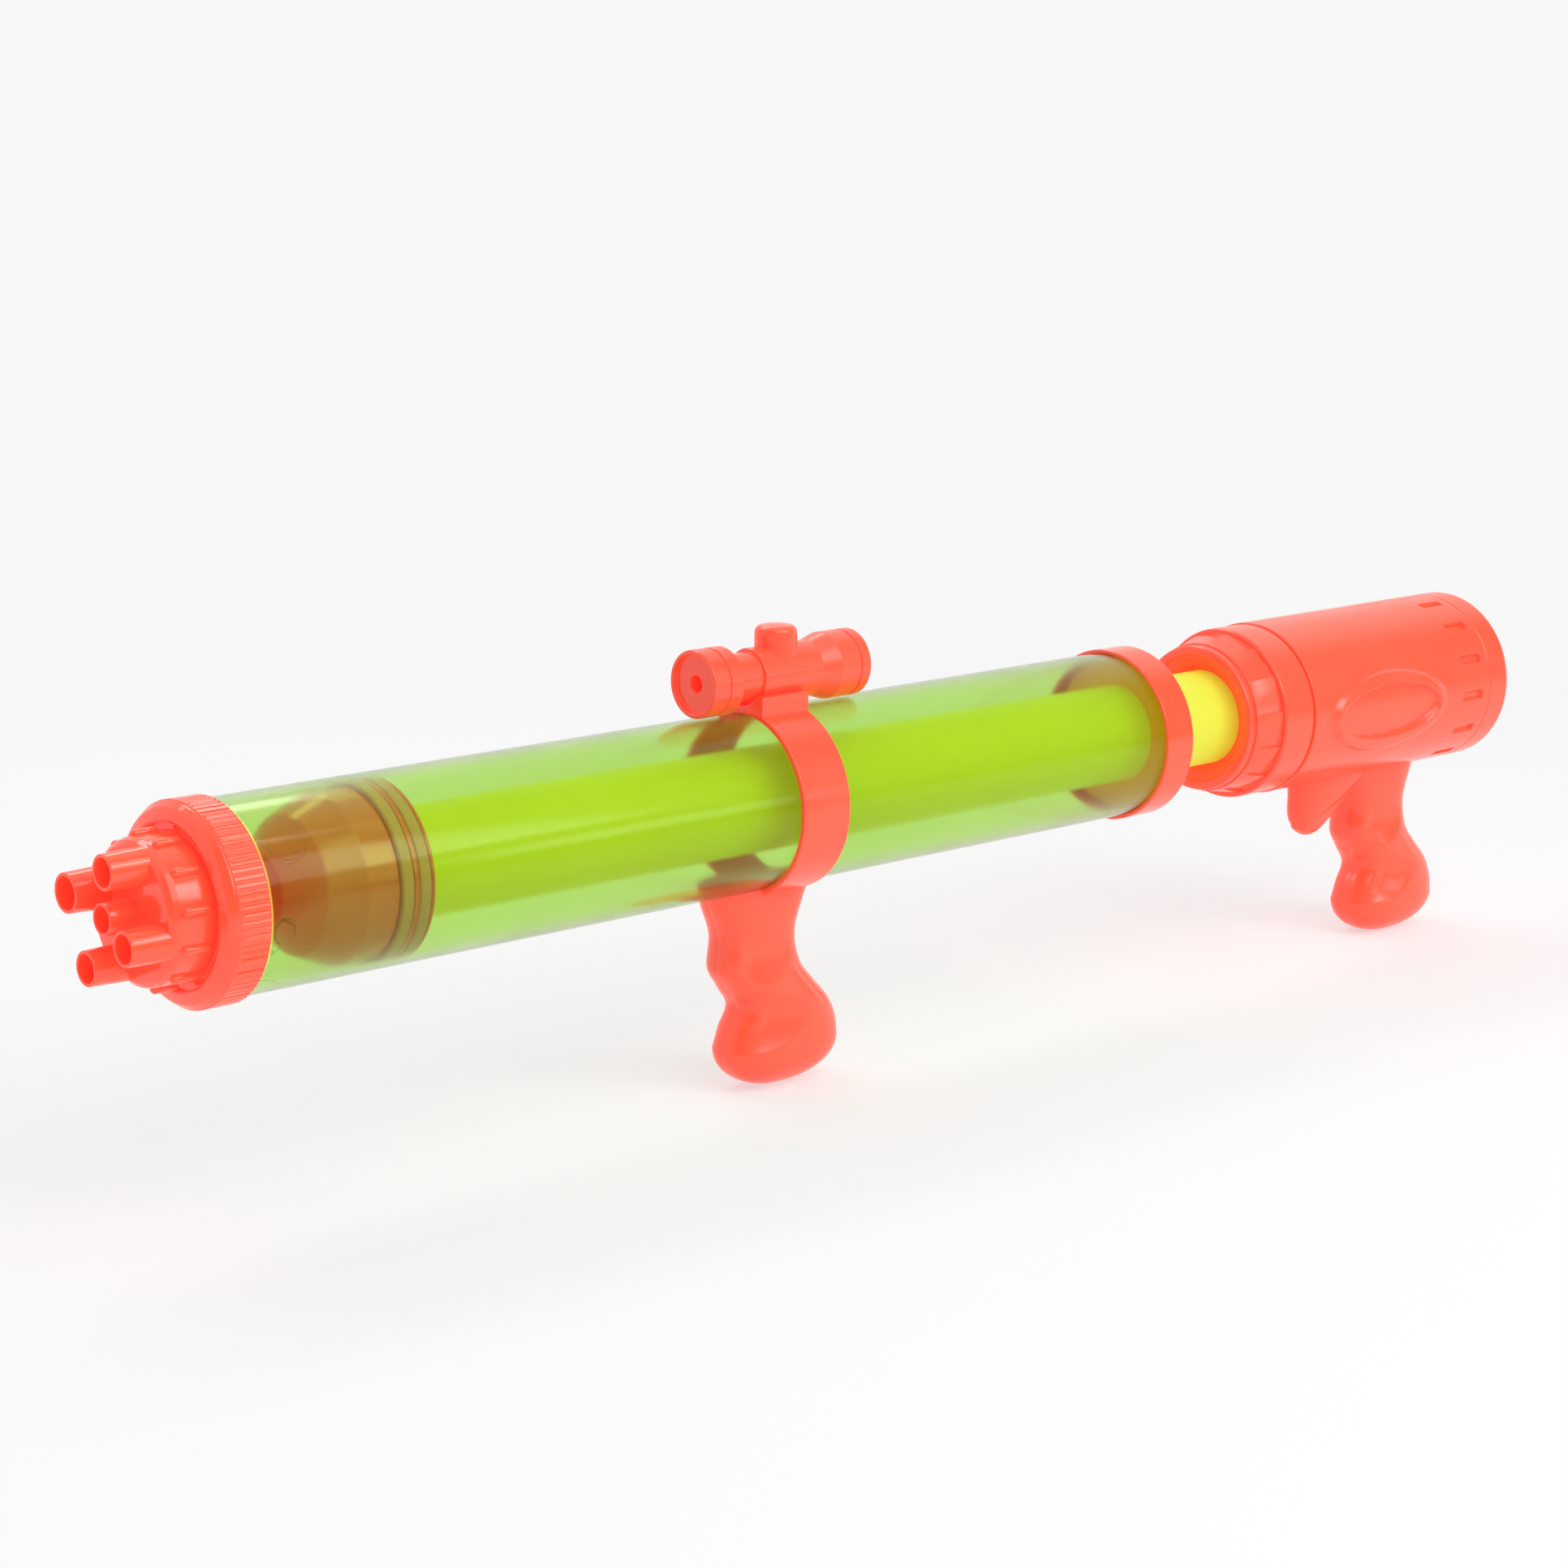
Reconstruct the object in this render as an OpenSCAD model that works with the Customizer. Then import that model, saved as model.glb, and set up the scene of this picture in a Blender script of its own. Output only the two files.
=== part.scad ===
// Pump-action water squirter: a clear barrel tube with a five-jet nozzle head, a clamp with a
// foregrip and a toy sight, and a plunger that slides and turns in the tube by its pistol handle.
// The barrel's axis is X. The middle jet's mouth is the origin, the handle is towards +X, +Z is up.

/* [Barrel] */
// Outer diameter of the clear barrel tube
barrel_d = 60; // [54:1:68]
// Wall of the barrel tube
barrel_wall = 1.8; // [1.2:0.1:2.6]
// Length of the barrel tube
barrel_length = 404.5; // [380:0.5:460]

/* [Nozzle head] */
// Length of the middle jet in front of the head's face
jet_length = 9; // [7:0.5:14]
// Outer radius of the middle jet
jet_r = 4.9; // [4.5:0.1:6]
// Radius of the socket in the middle jet
jet_bore_r = 4; // [3:0.1:4.2]
// Outer radius of a corner nozzle at its mouth
nozzle_r = 5.4; // [4.8:0.1:5.8]
// Outer radius of the one wider corner nozzle at its mouth
wide_nozzle_r = 6.1; // [5.4:0.1:6.6]
// Wall of a corner nozzle at its mouth
nozzle_wall = 1; // [0.8:0.1:1.4]
// Widening of a nozzle from its mouth to its root
nozzle_draft = 0.5; // [0.2:0.1:0.8]
// How far the corner nozzles reach ahead of the middle jet
nozzle_lead = 2.6; // [0:0.1:5]
// Radius of the circle on which the corner nozzles stand
nozzle_pitch_r = 16.2; // [14.5:0.1:17.5]
// Turn of the cross of nozzles about the barrel's axis
nozzle_turn = 20; // [0:1:44]
// Depth of the sockets in the nozzles
socket_depth = 10; // [6:0.5:10.5]
// Radius of the water hole in each socket's floor
orifice_r = 1.2; // [0.8:0.1:1.8]
// Outer radius of the head's face
face_r = 22.8; // [22.6:0.1:23.4]
// Radius at which the face's sloped rim begins
face_flat_r = 20.2; // [18.5:0.1:20.8]
// Length of the face's sloped rim along the barrel
face_slope = 3.2; // [2.4:0.1:4]
// Height of the face's crown
face_crown = 0.6; // [0.3:0.1:1]
// Thickness of the face's wall at its middle
face_wall = 3.4; // [2.5:0.1:4]
// Depth from the crown of the face to the head's flange
head_depth = 16; // [14.5:0.5:20]
// Radius of the head's drum between its ribs, at the flange
rib_floor_r = 22.4; // [21.6:0.1:22.7]
// Wall of the head's boss
head_wall = 1.8; // [1.4:0.1:2]
// Number of bar ribs round the head
rib_count = 12; // [8:1:16]
// Width of a bar rib
rib_w = 3.2; // [1.6:0.1:3.6]
// Length of a bar rib
rib_length = 9.5; // [6:0.5:10]
// Height of a bar rib above the drum
rib_height = 1.3; // [1.2:0.1:2.5]
// Thickness of the head's flange
flange_t = 2.5; // [2:0.1:4]
// Thickness of the gasket between the flange and the tube
gasket_t = 1.5; // [1:0.1:2.5]

/* [Nozzle collar] */
// Wall of the collar round the tube, to the tips of its knurl
collar_wall = 1.4; // [1.3:0.1:2.5]
// Depth of the knurl
knurl_depth = 0.4; // [0.2:0.05:0.6]
// Number of knurl teeth
knurl_count = 84; // [60:1:110]
// Length of the knurled band
knurl_length = 12.5; // [9:0.5:14]
// Thickness of the collar's front wall
collar_front = 3.6; // [2.8:0.1:5]
// Radius of the collar's mouth, round the head
collar_mouth_r = 26.6; // [26:0.1:27.4]
// How far the collar reaches back over the tube
collar_grip = 8.5; // [6:0.5:14]

/* [Clamp and sight] */
// Distance from the tube's front end to the clamp band
clamp_setback = 216; // [150:1:260]
// Width of the clamp band along the barrel
clamp_w = 20.5; // [18.5:0.5:26]
// Thickness of the clamp band
clamp_t = 1.8; // [1.4:0.1:3]
// Width of the saddle under the sight, across the barrel
saddle_w = 22; // [19.5:0.5:26]
// Height of the sight's axis above the tube
sight_rise = 12; // [11.8:0.1:16]
// How far the saddle's top lies below the sight's axis
saddle_drop = 5.5; // [4:0.5:7]
// Length of the sight
sight_length = 70; // [64:1:84]
// How far the sight reaches ahead of the clamp band
sight_lead = 20.8; // [18:0.1:24]
// Radius of the sight's two bells
bell_r = 11.4; // [10.4:0.1:11.5]
// Length of the front bell
front_bell = 12.8; // [11:0.1:14]
// Length of the rear bell
rear_bell = 13.4; // [9:0.1:16]
// Radius of the sight's front neck
neck_r = 8.2; // [7:0.1:8.8]
// Radius of the sight's main tube
scope_r = 9.4; // [9:0.1:10]
// Radius of the hole through the sight
peep_r = 2.9; // [2:0.1:3.5]
// Radius of the sight's knob
knob_r = 7.2; // [6:0.1:8]
// Height of the knob's top above the sight's axis
knob_rise = 16.3; // [13:0.1:20]

/* [Grips] */
// Depth of the grip's sole below its seat
sole_drop = 66.8; // [62:0.2:78]
// Depth of the heel, where the grip is longest
heel_drop = 53; // [50:0.5:56]
// Depth of the finger notch
notch_drop = 39; // [36:0.5:42]
// Depth of the knuckle above the notch
knuckle_drop = 24.8; // [22:0.2:27]
// Depth of the throat
throat_drop = 13.5; // [11:0.5:16]
// Reach of the throat ahead of the grip's own line
throat_front = 20.4; // [17:0.1:24]
// Reach of the throat behind the grip's own line
throat_rear = 9.5; // [7:0.1:12]
// Reach of the knuckle ahead of the grip's own line
knuckle_front = 21.2; // [17:0.1:24]
// Reach of the finger notch ahead of the grip's own line
notch_front = 12.7; // [9:0.1:16]
// Reach of the heel ahead of the grip's own line
heel_front = 19.1; // [14:0.1:23]
// Reach of the heel behind the grip's own line
heel_rear = 29.1; // [23:0.1:32]
// Width of the grip at the throat
throat_w = 23; // [20:0.5:26]
// Width of the grip at the heel
heel_w = 27; // [24:0.5:32]
// Depth of the finger scoops on the grip's sides
scoop_depth = 2; // [0.6:0.1:2.6]
// How far the finger scoops reach back from the grip's front edge
scoop_reach = 23; // [16:0.5:27]
// Half height of a finger scoop at the grip's front edge
scoop_half = 10; // [7:0.5:11]
// Depth of the upper finger scoop's middle below the grip's seat
scoop_upper = 19.5; // [17:0.5:21]
// Depth of the lower finger scoop's middle below the grip's seat
scoop_lower = 43; // [41:0.5:44]

/* [Rear end cap] */
// Thickness of the cap's skirt round the tube
cap_t = 1.3; // [1:0.1:3]
// Thickness of the cap's end wall
cap_wall = 3; // [2:0.1:5]
// How far the cap reaches over the tube
cap_grip = 11; // [8:0.5:16]
// Length of the rod's guide bush
bush_length = 6; // [5:0.5:16]

/* [Plunger] */
// Outer radius of the plunger rod
rod_r = 17.6; // [15.5:0.1:19]
// Wall of the plunger rod
rod_wall = 1.6; // [1.2:0.1:2.4]
// How far the rod reaches into the handle's round body
rod_engage = 20.5; // [19:0.5:26]
// Gap between the end cap and the handle in the pose that is drawn
handle_gap = 35.5; // [10:0.5:60]
// How far the piston's nose enters the head when the handle is pushed home
nose_entry = 8.4; // [4:0.1:8.4]
// Length of the piston
piston_length = 43.5; // [41:0.5:52]
// Length of the piston's tapered nose
nose_length = 20; // [19.5:0.5:22]
// Radius of the flat end of the piston's nose
nose_r = 10.8; // [8:0.2:11]
// Clearance between the piston's lands and the tube
land_gap = 0.4; // [0.3:0.05:0.8]
// Width of each seal ring along the barrel
seal_w = 4.4; // [3.4:0.1:5]
// Thickness of a seal ring, from its groove to the tube
seal_t = 3.4; // [2.8:0.1:4]
// Width of the land between the two seals
land_w = 1.8; // [1.2:0.1:3]
// Width of the rim behind the rear seal
rim_w = 1.2; // [1:0.1:3]
// Depth of the rod's socket in the piston
piston_socket = 20; // [18:0.5:22]
// Radius of the two cross pins
pin_r = 2; // [1.5:0.1:2.5]

/* [Handle] */
// Outer radius of the handle's round body
handle_r = 32.6; // [31.6:0.1:36]
// Wall of the handle's shells
handle_wall = 2.4; // [2:0.1:3.2]
// Length of the nose, from its face to the body
nose_ring = 31.5; // [30:0.5:38]
// Length of the handle's round body
body_length = 106.5; // [98:0.5:130]
// Length of the end cap
end_length = 12.5; // [9:0.5:16]
// Rounding of the end cap's rear edge
end_round = 2.6; // [1.5:0.1:4]
// Step from the round body in to the flange behind the nose
flange_step = 0.5; // [0.3:0.1:1.2]
// Length of the flange behind the nose
flange_length = 16.5; // [13:0.5:20]
// Radius of the nose's toothed ring at the flange
tooth_ring_r = 29.8; // [29.4:0.1:30.4]
// Radius of the nose's toothed ring at its front
tooth_front_r = 27.9; // [27.6:0.1:28.6]
// Depth of the nose's dish at the rod
dish_depth = 4.6; // [2:0.1:5]
// Outer radius of the nose's rounded rim
rim_r = 27.3; // [26.8:0.1:27.7]
// Number of teeth round the nose
tooth_count = 14; // [8:1:20]
// Distance from the body's front to the grip's own line
grip_setback = 78.5; // [74:0.5:86]
// Distance from the body's front to the trigger nib
nib_setback = 27.6; // [24:0.2:32]
// Radius of the trigger nib's tip
nib_r = 7.2; // [6:0.1:8.5]
// Depth of the nib's tip below the body
nib_drop = 22; // [18:0.5:27]
// Depth of the trough along the trigger nib's rear edge
nib_trough = 1.2; // [0.4:0.1:1.8]
// Length of the raised oval on each side
oval_length = 70; // [60:1:74]
// Height of the raised oval
oval_height = 31; // [26:0.5:34]
// Width of the oval's raised border
oval_border = 5.6; // [4:0.1:8]
// Height of the oval's border above the body
oval_rise = 1.2; // [0.4:0.1:1.6]
// Depth of the oval's floor below the body
oval_sink = 0.4; // [0.2:0.1:0.8]
// Number of dash recesses on each side
dash_count = 6; // [3:1:6]
// Length of a dash recess
dash_length = 12; // [8:0.5:16]
// Width of a dash recess
dash_w = 3; // [2:0.1:4]
// Depth of a dash recess
dash_depth = 1; // [0.5:0.1:1.3]

/* [Fasteners] */
// Radius of a screw's head
screw_head_r = 2.9; // [2.4:0.1:3.4]
// Radius of a screw's shank
screw_r = 1.4; // [1:0.1:1.8]
// Length of a screw under its head
screw_length = 13; // [10:0.5:15]
// Clearance of pieces that are fixed together
fit = 0.05; // [0.03:0.01:0.1]
// Running clearance of the rod and the seals
running = 0.05; // [0.03:0.01:0.08]

/* [Hidden] */
$fn = 64;

red = [1, 0.37, 0.28];
tube_green = [0.55, 0.85, 0.3, 0.45];
rod_yellow = [0.95, 0.98, 0.25];
seal_tan = [0.9, 0.6, 0.42];
rubber_black = [0.15, 0.15, 0.15];
steel = [0.7, 0.7, 0.72];

// A small overlap that makes neighbouring shapes of one solid run into each other
bite = 0.6;
// How far a half's shapes run past the parting plane before the cut there
skirt = 1;
// Axial play of a seal ring in its groove
seal_play = 0.1;

barrel_r = barrel_d / 2;
bore_r = barrel_r - barrel_wall;

// Places along the barrel, from the jet's mouth to the rear
x_face = jet_length;
x_flange = x_face + head_depth;
x_gasket = x_flange + flange_t;
x_tube = x_gasket + gasket_t;
x_tube_end = x_tube + barrel_length;
x_cap_end = x_tube_end + cap_wall;
x_head_inner = x_face + face_wall;
collar_r = barrel_r + collar_wall;
x_collar = x_flange - collar_front;
x_collar_end = x_tube + collar_grip;
head_bore_r = rib_floor_r - head_wall;
// Step from the knurl's valleys down to the collar's smooth shoulder
knurl_step = 0.15;
// Slope where the head's boss meets its flange
head_fillet = 0.8;
flange_out_r = barrel_r - 0.1;

x_clamp = x_tube + clamp_setback;
x_clamp_end = x_clamp + clamp_w;
clamp_r = barrel_r + clamp_t;
sight_z = barrel_r + sight_rise;
saddle_z = sight_z - saddle_drop;
x_sight = x_clamp - sight_lead;
x_sight_end = x_sight + sight_length;
// Places along the sight
bell_taper = 2.4;
step_back = 3.2;
x_step = x_clamp + step_back;
rear_cone = 6.6;
bell_groove = 7;
rear_groove = 4.6;
groove_w = 0.8;
lens_sink = 1.6;
bell_lip = 1.5;
x_knob = x_clamp + 15.8;
knob_round = 2.6;

x_nose = x_cap_end + handle_gap;
x_body = x_nose + nose_ring;
x_end = x_body + body_length;
x_back = x_end + end_length;
shell_r = handle_r - handle_wall;
flange_r = handle_r - flange_step;
rod_bore_r = rod_r + fit;
rod_x1 = x_body + rod_engage;
x_piston = x_gasket - nose_entry + handle_gap;
x_piston_end = x_piston + piston_length;
rod_x0 = x_piston_end - piston_socket;
seal_out_r = bore_r - running;
seal_in_r = seal_out_r - seal_t;
land_r = bore_r - land_gap;
piston_r = land_r - 1.2;
x_seal_rear = x_piston_end - rim_w - seal_w - seal_play;
x_seal_front = x_seal_rear - land_w - seal_w - 2 * seal_play;
spigot_length = 6;
spigot_wall = 2;
x_pin = rod_x1 - 8;
x_piston_pin = x_seal_front - pin_r - 0.9;

grip_x_front = x_clamp + clamp_w / 2;
grip_x_rear = x_body + grip_setback;

// Grip stations: depth below the seat, with the front edge, rear edge and half width there
flare_top = -5;
grip_front = [[flare_top, -throat_front - 7.4], [2.7, -throat_front - 4.3],
    [throat_drop, -throat_front], [knuckle_drop, -knuckle_front],
    [(knuckle_drop + notch_drop) / 2, -(knuckle_front + notch_front) / 2],
    [notch_drop, -notch_front], [(notch_drop + heel_drop) / 2, -(notch_front + heel_front) / 2 - 0.5],
    [heel_drop, -heel_front]];
grip_rear = [[flare_top, throat_rear + 9], [2.7, throat_rear + 4.6], [throat_drop, throat_rear],
    [knuckle_drop, throat_rear + 2.4],
    [(knuckle_drop + notch_drop) / 2, (throat_rear + heel_rear) / 2 - 1.6],
    [notch_drop, heel_rear - 4.9], [(notch_drop + heel_drop) / 2, heel_rear - 1],
    [heel_drop, heel_rear]];
grip_half_w = [[flare_top, throat_w / 2 - 0.6], [throat_drop, throat_w / 2],
    [(throat_drop + heel_drop) / 2, (throat_w + heel_w) / 4], [heel_drop, heel_w / 2]];
grip_levels = 24;
sole_levels = 8;
ring_steps = 14;
section_power = 0.78;
sole_shift = 3.2;

// Slope of a row of [place, value] keys at key i
function key_slope(keys, i) =
    let (a = max(i - 1, 0), b = min(i + 1, len(keys) - 1))
    (keys[b][1] - keys[a][1]) / (keys[b][0] - keys[a][0]);

// Smooth value of the keys at place d
function key_value(keys, d, i = 0) =
    i < len(keys) - 2 && d > keys[i + 1][0] ? key_value(keys, d, i + 1) :
    let (h = keys[i + 1][0] - keys[i][0], t = (d - keys[i][0]) / h,
        m0 = key_slope(keys, i) * h, m1 = key_slope(keys, i + 1) * h)
    (2 * pow(t, 3) - 3 * t * t + 1) * keys[i][1] + (pow(t, 3) - 2 * t * t + t) * m0
        + (3 * t * t - 2 * pow(t, 3)) * keys[i + 1][1] + (pow(t, 3) - t * t) * m1;

// Depth of one finger scoop, run behind the front edge, with its middle at depth mid
scoop_start = 2.5;
scoop_ramp = 5;
function scoop_at(d, run, mid) = scoop_depth * min(1, max(0, run - scoop_start) / scoop_ramp)
    * max(0, 1 - pow(run / scoop_reach, 3) - pow((d - mid) / scoop_half, 2));

// One half ring of the grip at depth d, shrunk by k towards the line x = mid
function grip_ring(d, level, k, mid) =
    let (f = key_value(grip_front, d), r = key_value(grip_rear, d), w = key_value(grip_half_w, d),
        half = (r - f) / 2, centre = (r + f) / 2 * k + mid * (1 - k))
    [for (i = [0:ring_steps]) let (a = 180 * i / ring_steps, ca = cos(a), sa = abs(sin(a)),
        reach = half * sign(ca) * pow(abs(ca), section_power), run = half - reach,
        scoop = scoop_at(d, run, scoop_upper) + scoop_at(d, run, scoop_lower))
        [centre - reach * k, (w * pow(sa, section_power) - scoop * min(1, 2 * sa)) * k, level]];

// Half rings from the flare at the seat down to the sole
function grip_rings() = concat(
    [for (i = [0:grip_levels]) let (d = flare_top + (heel_drop - flare_top) * i / grip_levels)
        grip_ring(d, -d, 1, 0)],
    [for (i = [1:sole_levels]) let (a = 86 * i / sole_levels)
        grip_ring(heel_drop, -heel_drop - (sole_drop - heel_drop) * sin(a), pow(cos(a), 0.92),
            sole_shift * (1 - cos(a)))]);

// Nib stations: depth below the body, with the front edge, rear edge and half width there
nib_front = [[flare_top, -1.5], [0, -0.6], [5, 0], [nib_drop - 9, 0.3], [nib_drop - 3, 2.2]];
nib_rear = [[flare_top, 50], [0, 44.5], [5, 37.5], [nib_drop - 9, nib_r * 2 + 8.6],
    [nib_drop - 3, nib_r * 2 - 1.4]];
nib_half_w = [[flare_top, nib_r + 2.2], [0, nib_r + 1.8], [5, nib_r + 1], [nib_drop - 9, nib_r],
    [nib_drop - 3, nib_r - 1.6]];
nib_levels = 9;
tip_levels = 4;

// One half ring of the nib at depth d, shrunk by k towards its middle
function nib_ring(d, level, k) =
    let (f = key_value(nib_front, d), r = key_value(nib_rear, d), w = key_value(nib_half_w, d),
        half = (r - f) / 2, centre = (r + f) / 2, fade = max(0, 1 - pow(d * 2 / nib_drop - 1, 2)))
    [for (i = [0:ring_steps]) let (a = 180 * i / ring_steps, ca = cos(a), sa = abs(sin(a)),
        reach = half * sign(ca) * pow(abs(ca), section_power),
        trough = nib_trough * fade * max(0, 1 - pow((half + reach - nib_r - 1) / nib_r, 2)))
        [centre - reach * k, (w * pow(sa, section_power) - trough * min(1, 2 * sa)) * k, level]];

// Half rings of the nib from inside the body down to its tip
function nib_rings() =
    let (top = nib_front[0][0], low = nib_drop - 3)
    concat([for (i = [0:nib_levels]) let (d = top + (low - top) * i / nib_levels) nib_ring(d, -d, 1)],
        [for (i = [1:tip_levels]) let (k = 1 - 0.94 * i / tip_levels)
            nib_ring(low, -nib_drop + (nib_drop - low) * k * k, k)]);

// Round stretch of an outline about a centre, with its start and end angles
function round_edge(c, r, a0, a1, n = 6) = [for (i = [0:n]) let (a = a0 + (a1 - a0) * i / n)
    [c[0] + r * cos(a), c[1] + r * sin(a)]];

// Turns an outline of [place along X, radius] about the X axis
module revolve_x(outline) {
    rotate([0, 90, 0]) rotate_extrude() polygon([for (p = outline) [p[1], p[0]]]);
}

// Round bar along X
module bar_x(x0, x1, r) {
    translate([x0, 0, 0]) rotate([0, 90, 0]) cylinder(r = r, h = x1 - x0);
}

// Round bar along Y
module bar_y(x, z, y0, y1, r) {
    translate([x, y0, z]) rotate([-90, 0, 0]) cylinder(r = r, h = y1 - y0);
}

module tube_x(x0, x1, r0, r1) {
    revolve_x([[x0, r0], [x1, r0], [x1, r1], [x0, r1]]);
}

module barrel_tube() {
    color(tube_green) tube_x(x_tube, x_tube_end, bore_r, barrel_r);
}

// Nozzle tube with its root on the head's face
module nozzle(mouth_x, r) {
    root_x = x_head_inner - bite;
    translate([mouth_x, 0, 0]) rotate([0, 90, 0])
        cylinder(r1 = r, r2 = r + nozzle_draft, h = root_x - mouth_x);
}

// Socket and water hole of a nozzle
module jet_way(mouth_x, r) {
    bar_x(mouth_x - bite, mouth_x + socket_depth, r);
    bar_x(mouth_x, x_flange, orifice_r);
}

// Puts its children at the corner nozzles, the wide one first
module at_corners() {
    for (i = [0:3])
        rotate([nozzle_turn + 90 * i, 0, 0]) translate([0, nozzle_pitch_r, 0]) children(i == 0 ? 0 : 1);
}

function corner_bore(r) = r - nozzle_wall;

module head_shell() {
    rim_x = x_face + face_crown;
    edge_x = rim_x + face_slope;
    root_x = x_flange - head_fillet;
    revolve_x([[x_face, 0], [x_face + face_crown * 0.35, face_flat_r * 0.6], [rim_x, face_flat_r],
        [rim_x + face_slope * 0.42, (face_flat_r + face_r) / 2 + 0.4], [edge_x - 0.5, face_r - 0.25],
        [edge_x + 0.1, face_r], [root_x, rib_floor_r],
        [x_flange, rib_floor_r + head_fillet], [x_flange, flange_out_r],
        [x_gasket, flange_out_r], [x_gasket, head_bore_r],
        [x_head_inner + 1.5, head_bore_r], [x_head_inner, head_bore_r - 1.5], [x_head_inner, 0]]);
    for (i = [0:rib_count - 1])
        rotate([360 * (i + 0.67) / rib_count, 0, 0]) translate([edge_x, 0, 0]) bar_rib();
}

// Bar rib with a rounded top, standing on the drum between the face and the flange
module bar_rib() {
    round_r = rib_w / 2;
    translate([0, 0, rib_floor_r - bite]) rotate([90, 0, 90]) linear_extrude(rib_length)
        polygon(concat([[-round_r, 0]], round_edge([0, rib_height + bite - round_r], round_r, 180, 0, 8),
            [[round_r, 0]]));
}

module nozzle_head() {
    color(red) difference() {
        union() {
            head_shell();
            nozzle(0, jet_r);
            at_corners() {
                nozzle(-nozzle_lead, wide_nozzle_r);
                nozzle(-nozzle_lead, nozzle_r);
            }
        }
        jet_way(0, jet_bore_r);
        at_corners() {
            jet_way(-nozzle_lead, corner_bore(wide_nozzle_r));
            jet_way(-nozzle_lead, corner_bore(nozzle_r));
        }
    }
}

module nozzle_gasket() {
    color(rubber_black) tube_x(x_gasket, x_tube, bore_r - 2, flange_out_r);
}

// Toothed outline of the knurled band
function knurl_outline() = [for (i = [0:knurl_count - 1]) for (side = [0, 1])
    let (a = 360 * (i + 0.5 * side) / knurl_count, r = collar_r - knurl_depth * side)
    [r * cos(a), r * sin(a)]];

module nozzle_collar() {
    shoulder = 4.6;
    smooth_r = collar_r - knurl_depth - knurl_step;
    x_knurl = x_collar_end - knurl_length;
    shoulder_c = [x_collar + shoulder, smooth_r - shoulder];
    $fn = 192;
    mouth_a = 180 - asin((collar_mouth_r - shoulder_c[1]) / shoulder);
    color(red) difference() {
        union() {
            revolve_x(concat([[x_collar_end, collar_mouth_r]],
                round_edge(shoulder_c, shoulder, mouth_a, 90, 8), [[x_collar_end, smooth_r]]));
            translate([x_knurl, 0, 0]) rotate([0, 90, 0])
                linear_extrude(knurl_length) polygon(knurl_outline());
        }
        bar_x(x_flange, x_collar_end + bite, barrel_r + fit);
        bar_x(x_collar - bite, x_collar_end, collar_mouth_r);
    }
}

// A half ring run on past the parting plane by the skirt's depth
function skirted(ring) =
    let (first = ring[0], last = ring[len(ring) - 1])
    concat([[first[0], -skirt, first[2]]], ring, [[last[0], -skirt, last[2]]]);

// Solid through half rings from the top one to the bottom one, with a skirt past the parting plane
module loft_half(half_rings) {
    rings = [for (ring = half_rings) skirted(ring)];
    count = len(rings);
    width = len(rings[0]);
    points = [for (ring = rings) each ring];
    sides = [for (i = [0:count - 2]) for (j = [0:width - 2])
        let (a = i * width + j, b = a + width) each [[a, b + 1, a + 1], [a, b, b + 1]]];
    top = [for (j = [0:width - 1]) j];
    sole = [for (j = [width - 1:-1:0]) (count - 1) * width + j];
    parting = concat([for (i = [0:count - 1]) i * width + width - 1],
        [for (i = [count - 1:-1:0]) i * width]);
    polyhedron(points, concat(sides, [top, sole, parting]), convexity = 6);
}

// Right half of a grip, hanging below z = 0 about the line x = 0
module grip_half() {
    loft_half(grip_rings());
}

// Places of the screws in a grip: along X from the grip's own line, and depth below its seat
grip_screw_places = [[-5, throat_drop + 4], [4, heel_drop - 3]];
screw_seat_y = 5;
hole_reach = handle_r + 7;

// Right half of the clamp, its saddle and its grip, or its mirror image with the pilot holes
module foregrip_half(right) {
    mirror([0, right ? 0 : 1, 0]) difference() {
        union() {
            tube_x(x_clamp, x_clamp_end, barrel_r - bite, clamp_r);
            translate([x_clamp, -skirt, barrel_r - saddle_w / 4])
                cube([clamp_w, saddle_w / 2 + skirt, saddle_z - barrel_r + saddle_w / 4]);
            translate([grip_x_front, 0, -clamp_r]) grip_half();
        }
        bar_x(x_clamp - 40, x_clamp_end + 40, barrel_r + fit);
        translate([0, 0, sight_z]) bar_x(x_clamp - bite, x_clamp_end + bite, scope_r + fit);
        for (p = grip_screw_places) screw_hole(grip_x_front + p[0], -clamp_r - p[1], right);
        other_side(x_clamp - 40, x_clamp_end + 40);
    }
}

// Everything on the far side of the parting plane between two places along X
module other_side(x0, x1) {
    deep = clamp_r + handle_r + sole_drop + 10;
    translate([x0, -deep, -deep]) cube([x1 - x0, deep, 2 * deep]);
}

// Hole for a screw: a sunk seat through the right half, a pilot hole in the left half
module screw_hole(x, z, right) {
    if (right) {
        bar_y(x, z, -skirt - bite, hole_reach, screw_r + 0.3);
        bar_y(x, z, screw_seat_y, hole_reach, screw_head_r + 0.4);
    } else {
        bar_y(x, z, -skirt - bite, screw_length - screw_seat_y + 1, screw_r + fit);
    }
}

module screw(x, z) {
    head_t = 2;
    difference() {
        union() {
            bar_y(x, z, screw_seat_y - screw_length, screw_seat_y + bite, screw_r);
            bar_y(x, z, screw_seat_y, screw_seat_y + head_t, screw_head_r);
        }
        for (turn = [0, 90])
            translate([x, screw_seat_y + head_t, z]) rotate([0, turn, 0])
                cube([screw_head_r * 1.2, 2 * head_t / 2, 0.7], center = true);
    }
}

module foregrip_left() {
    color(red) foregrip_half(false);
}

module foregrip_right() {
    color(red) foregrip_half(true);
}

module foregrip_screws() {
    color(steel) for (p = grip_screw_places) screw(grip_x_front + p[0], -clamp_r - p[1]);
}

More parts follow.
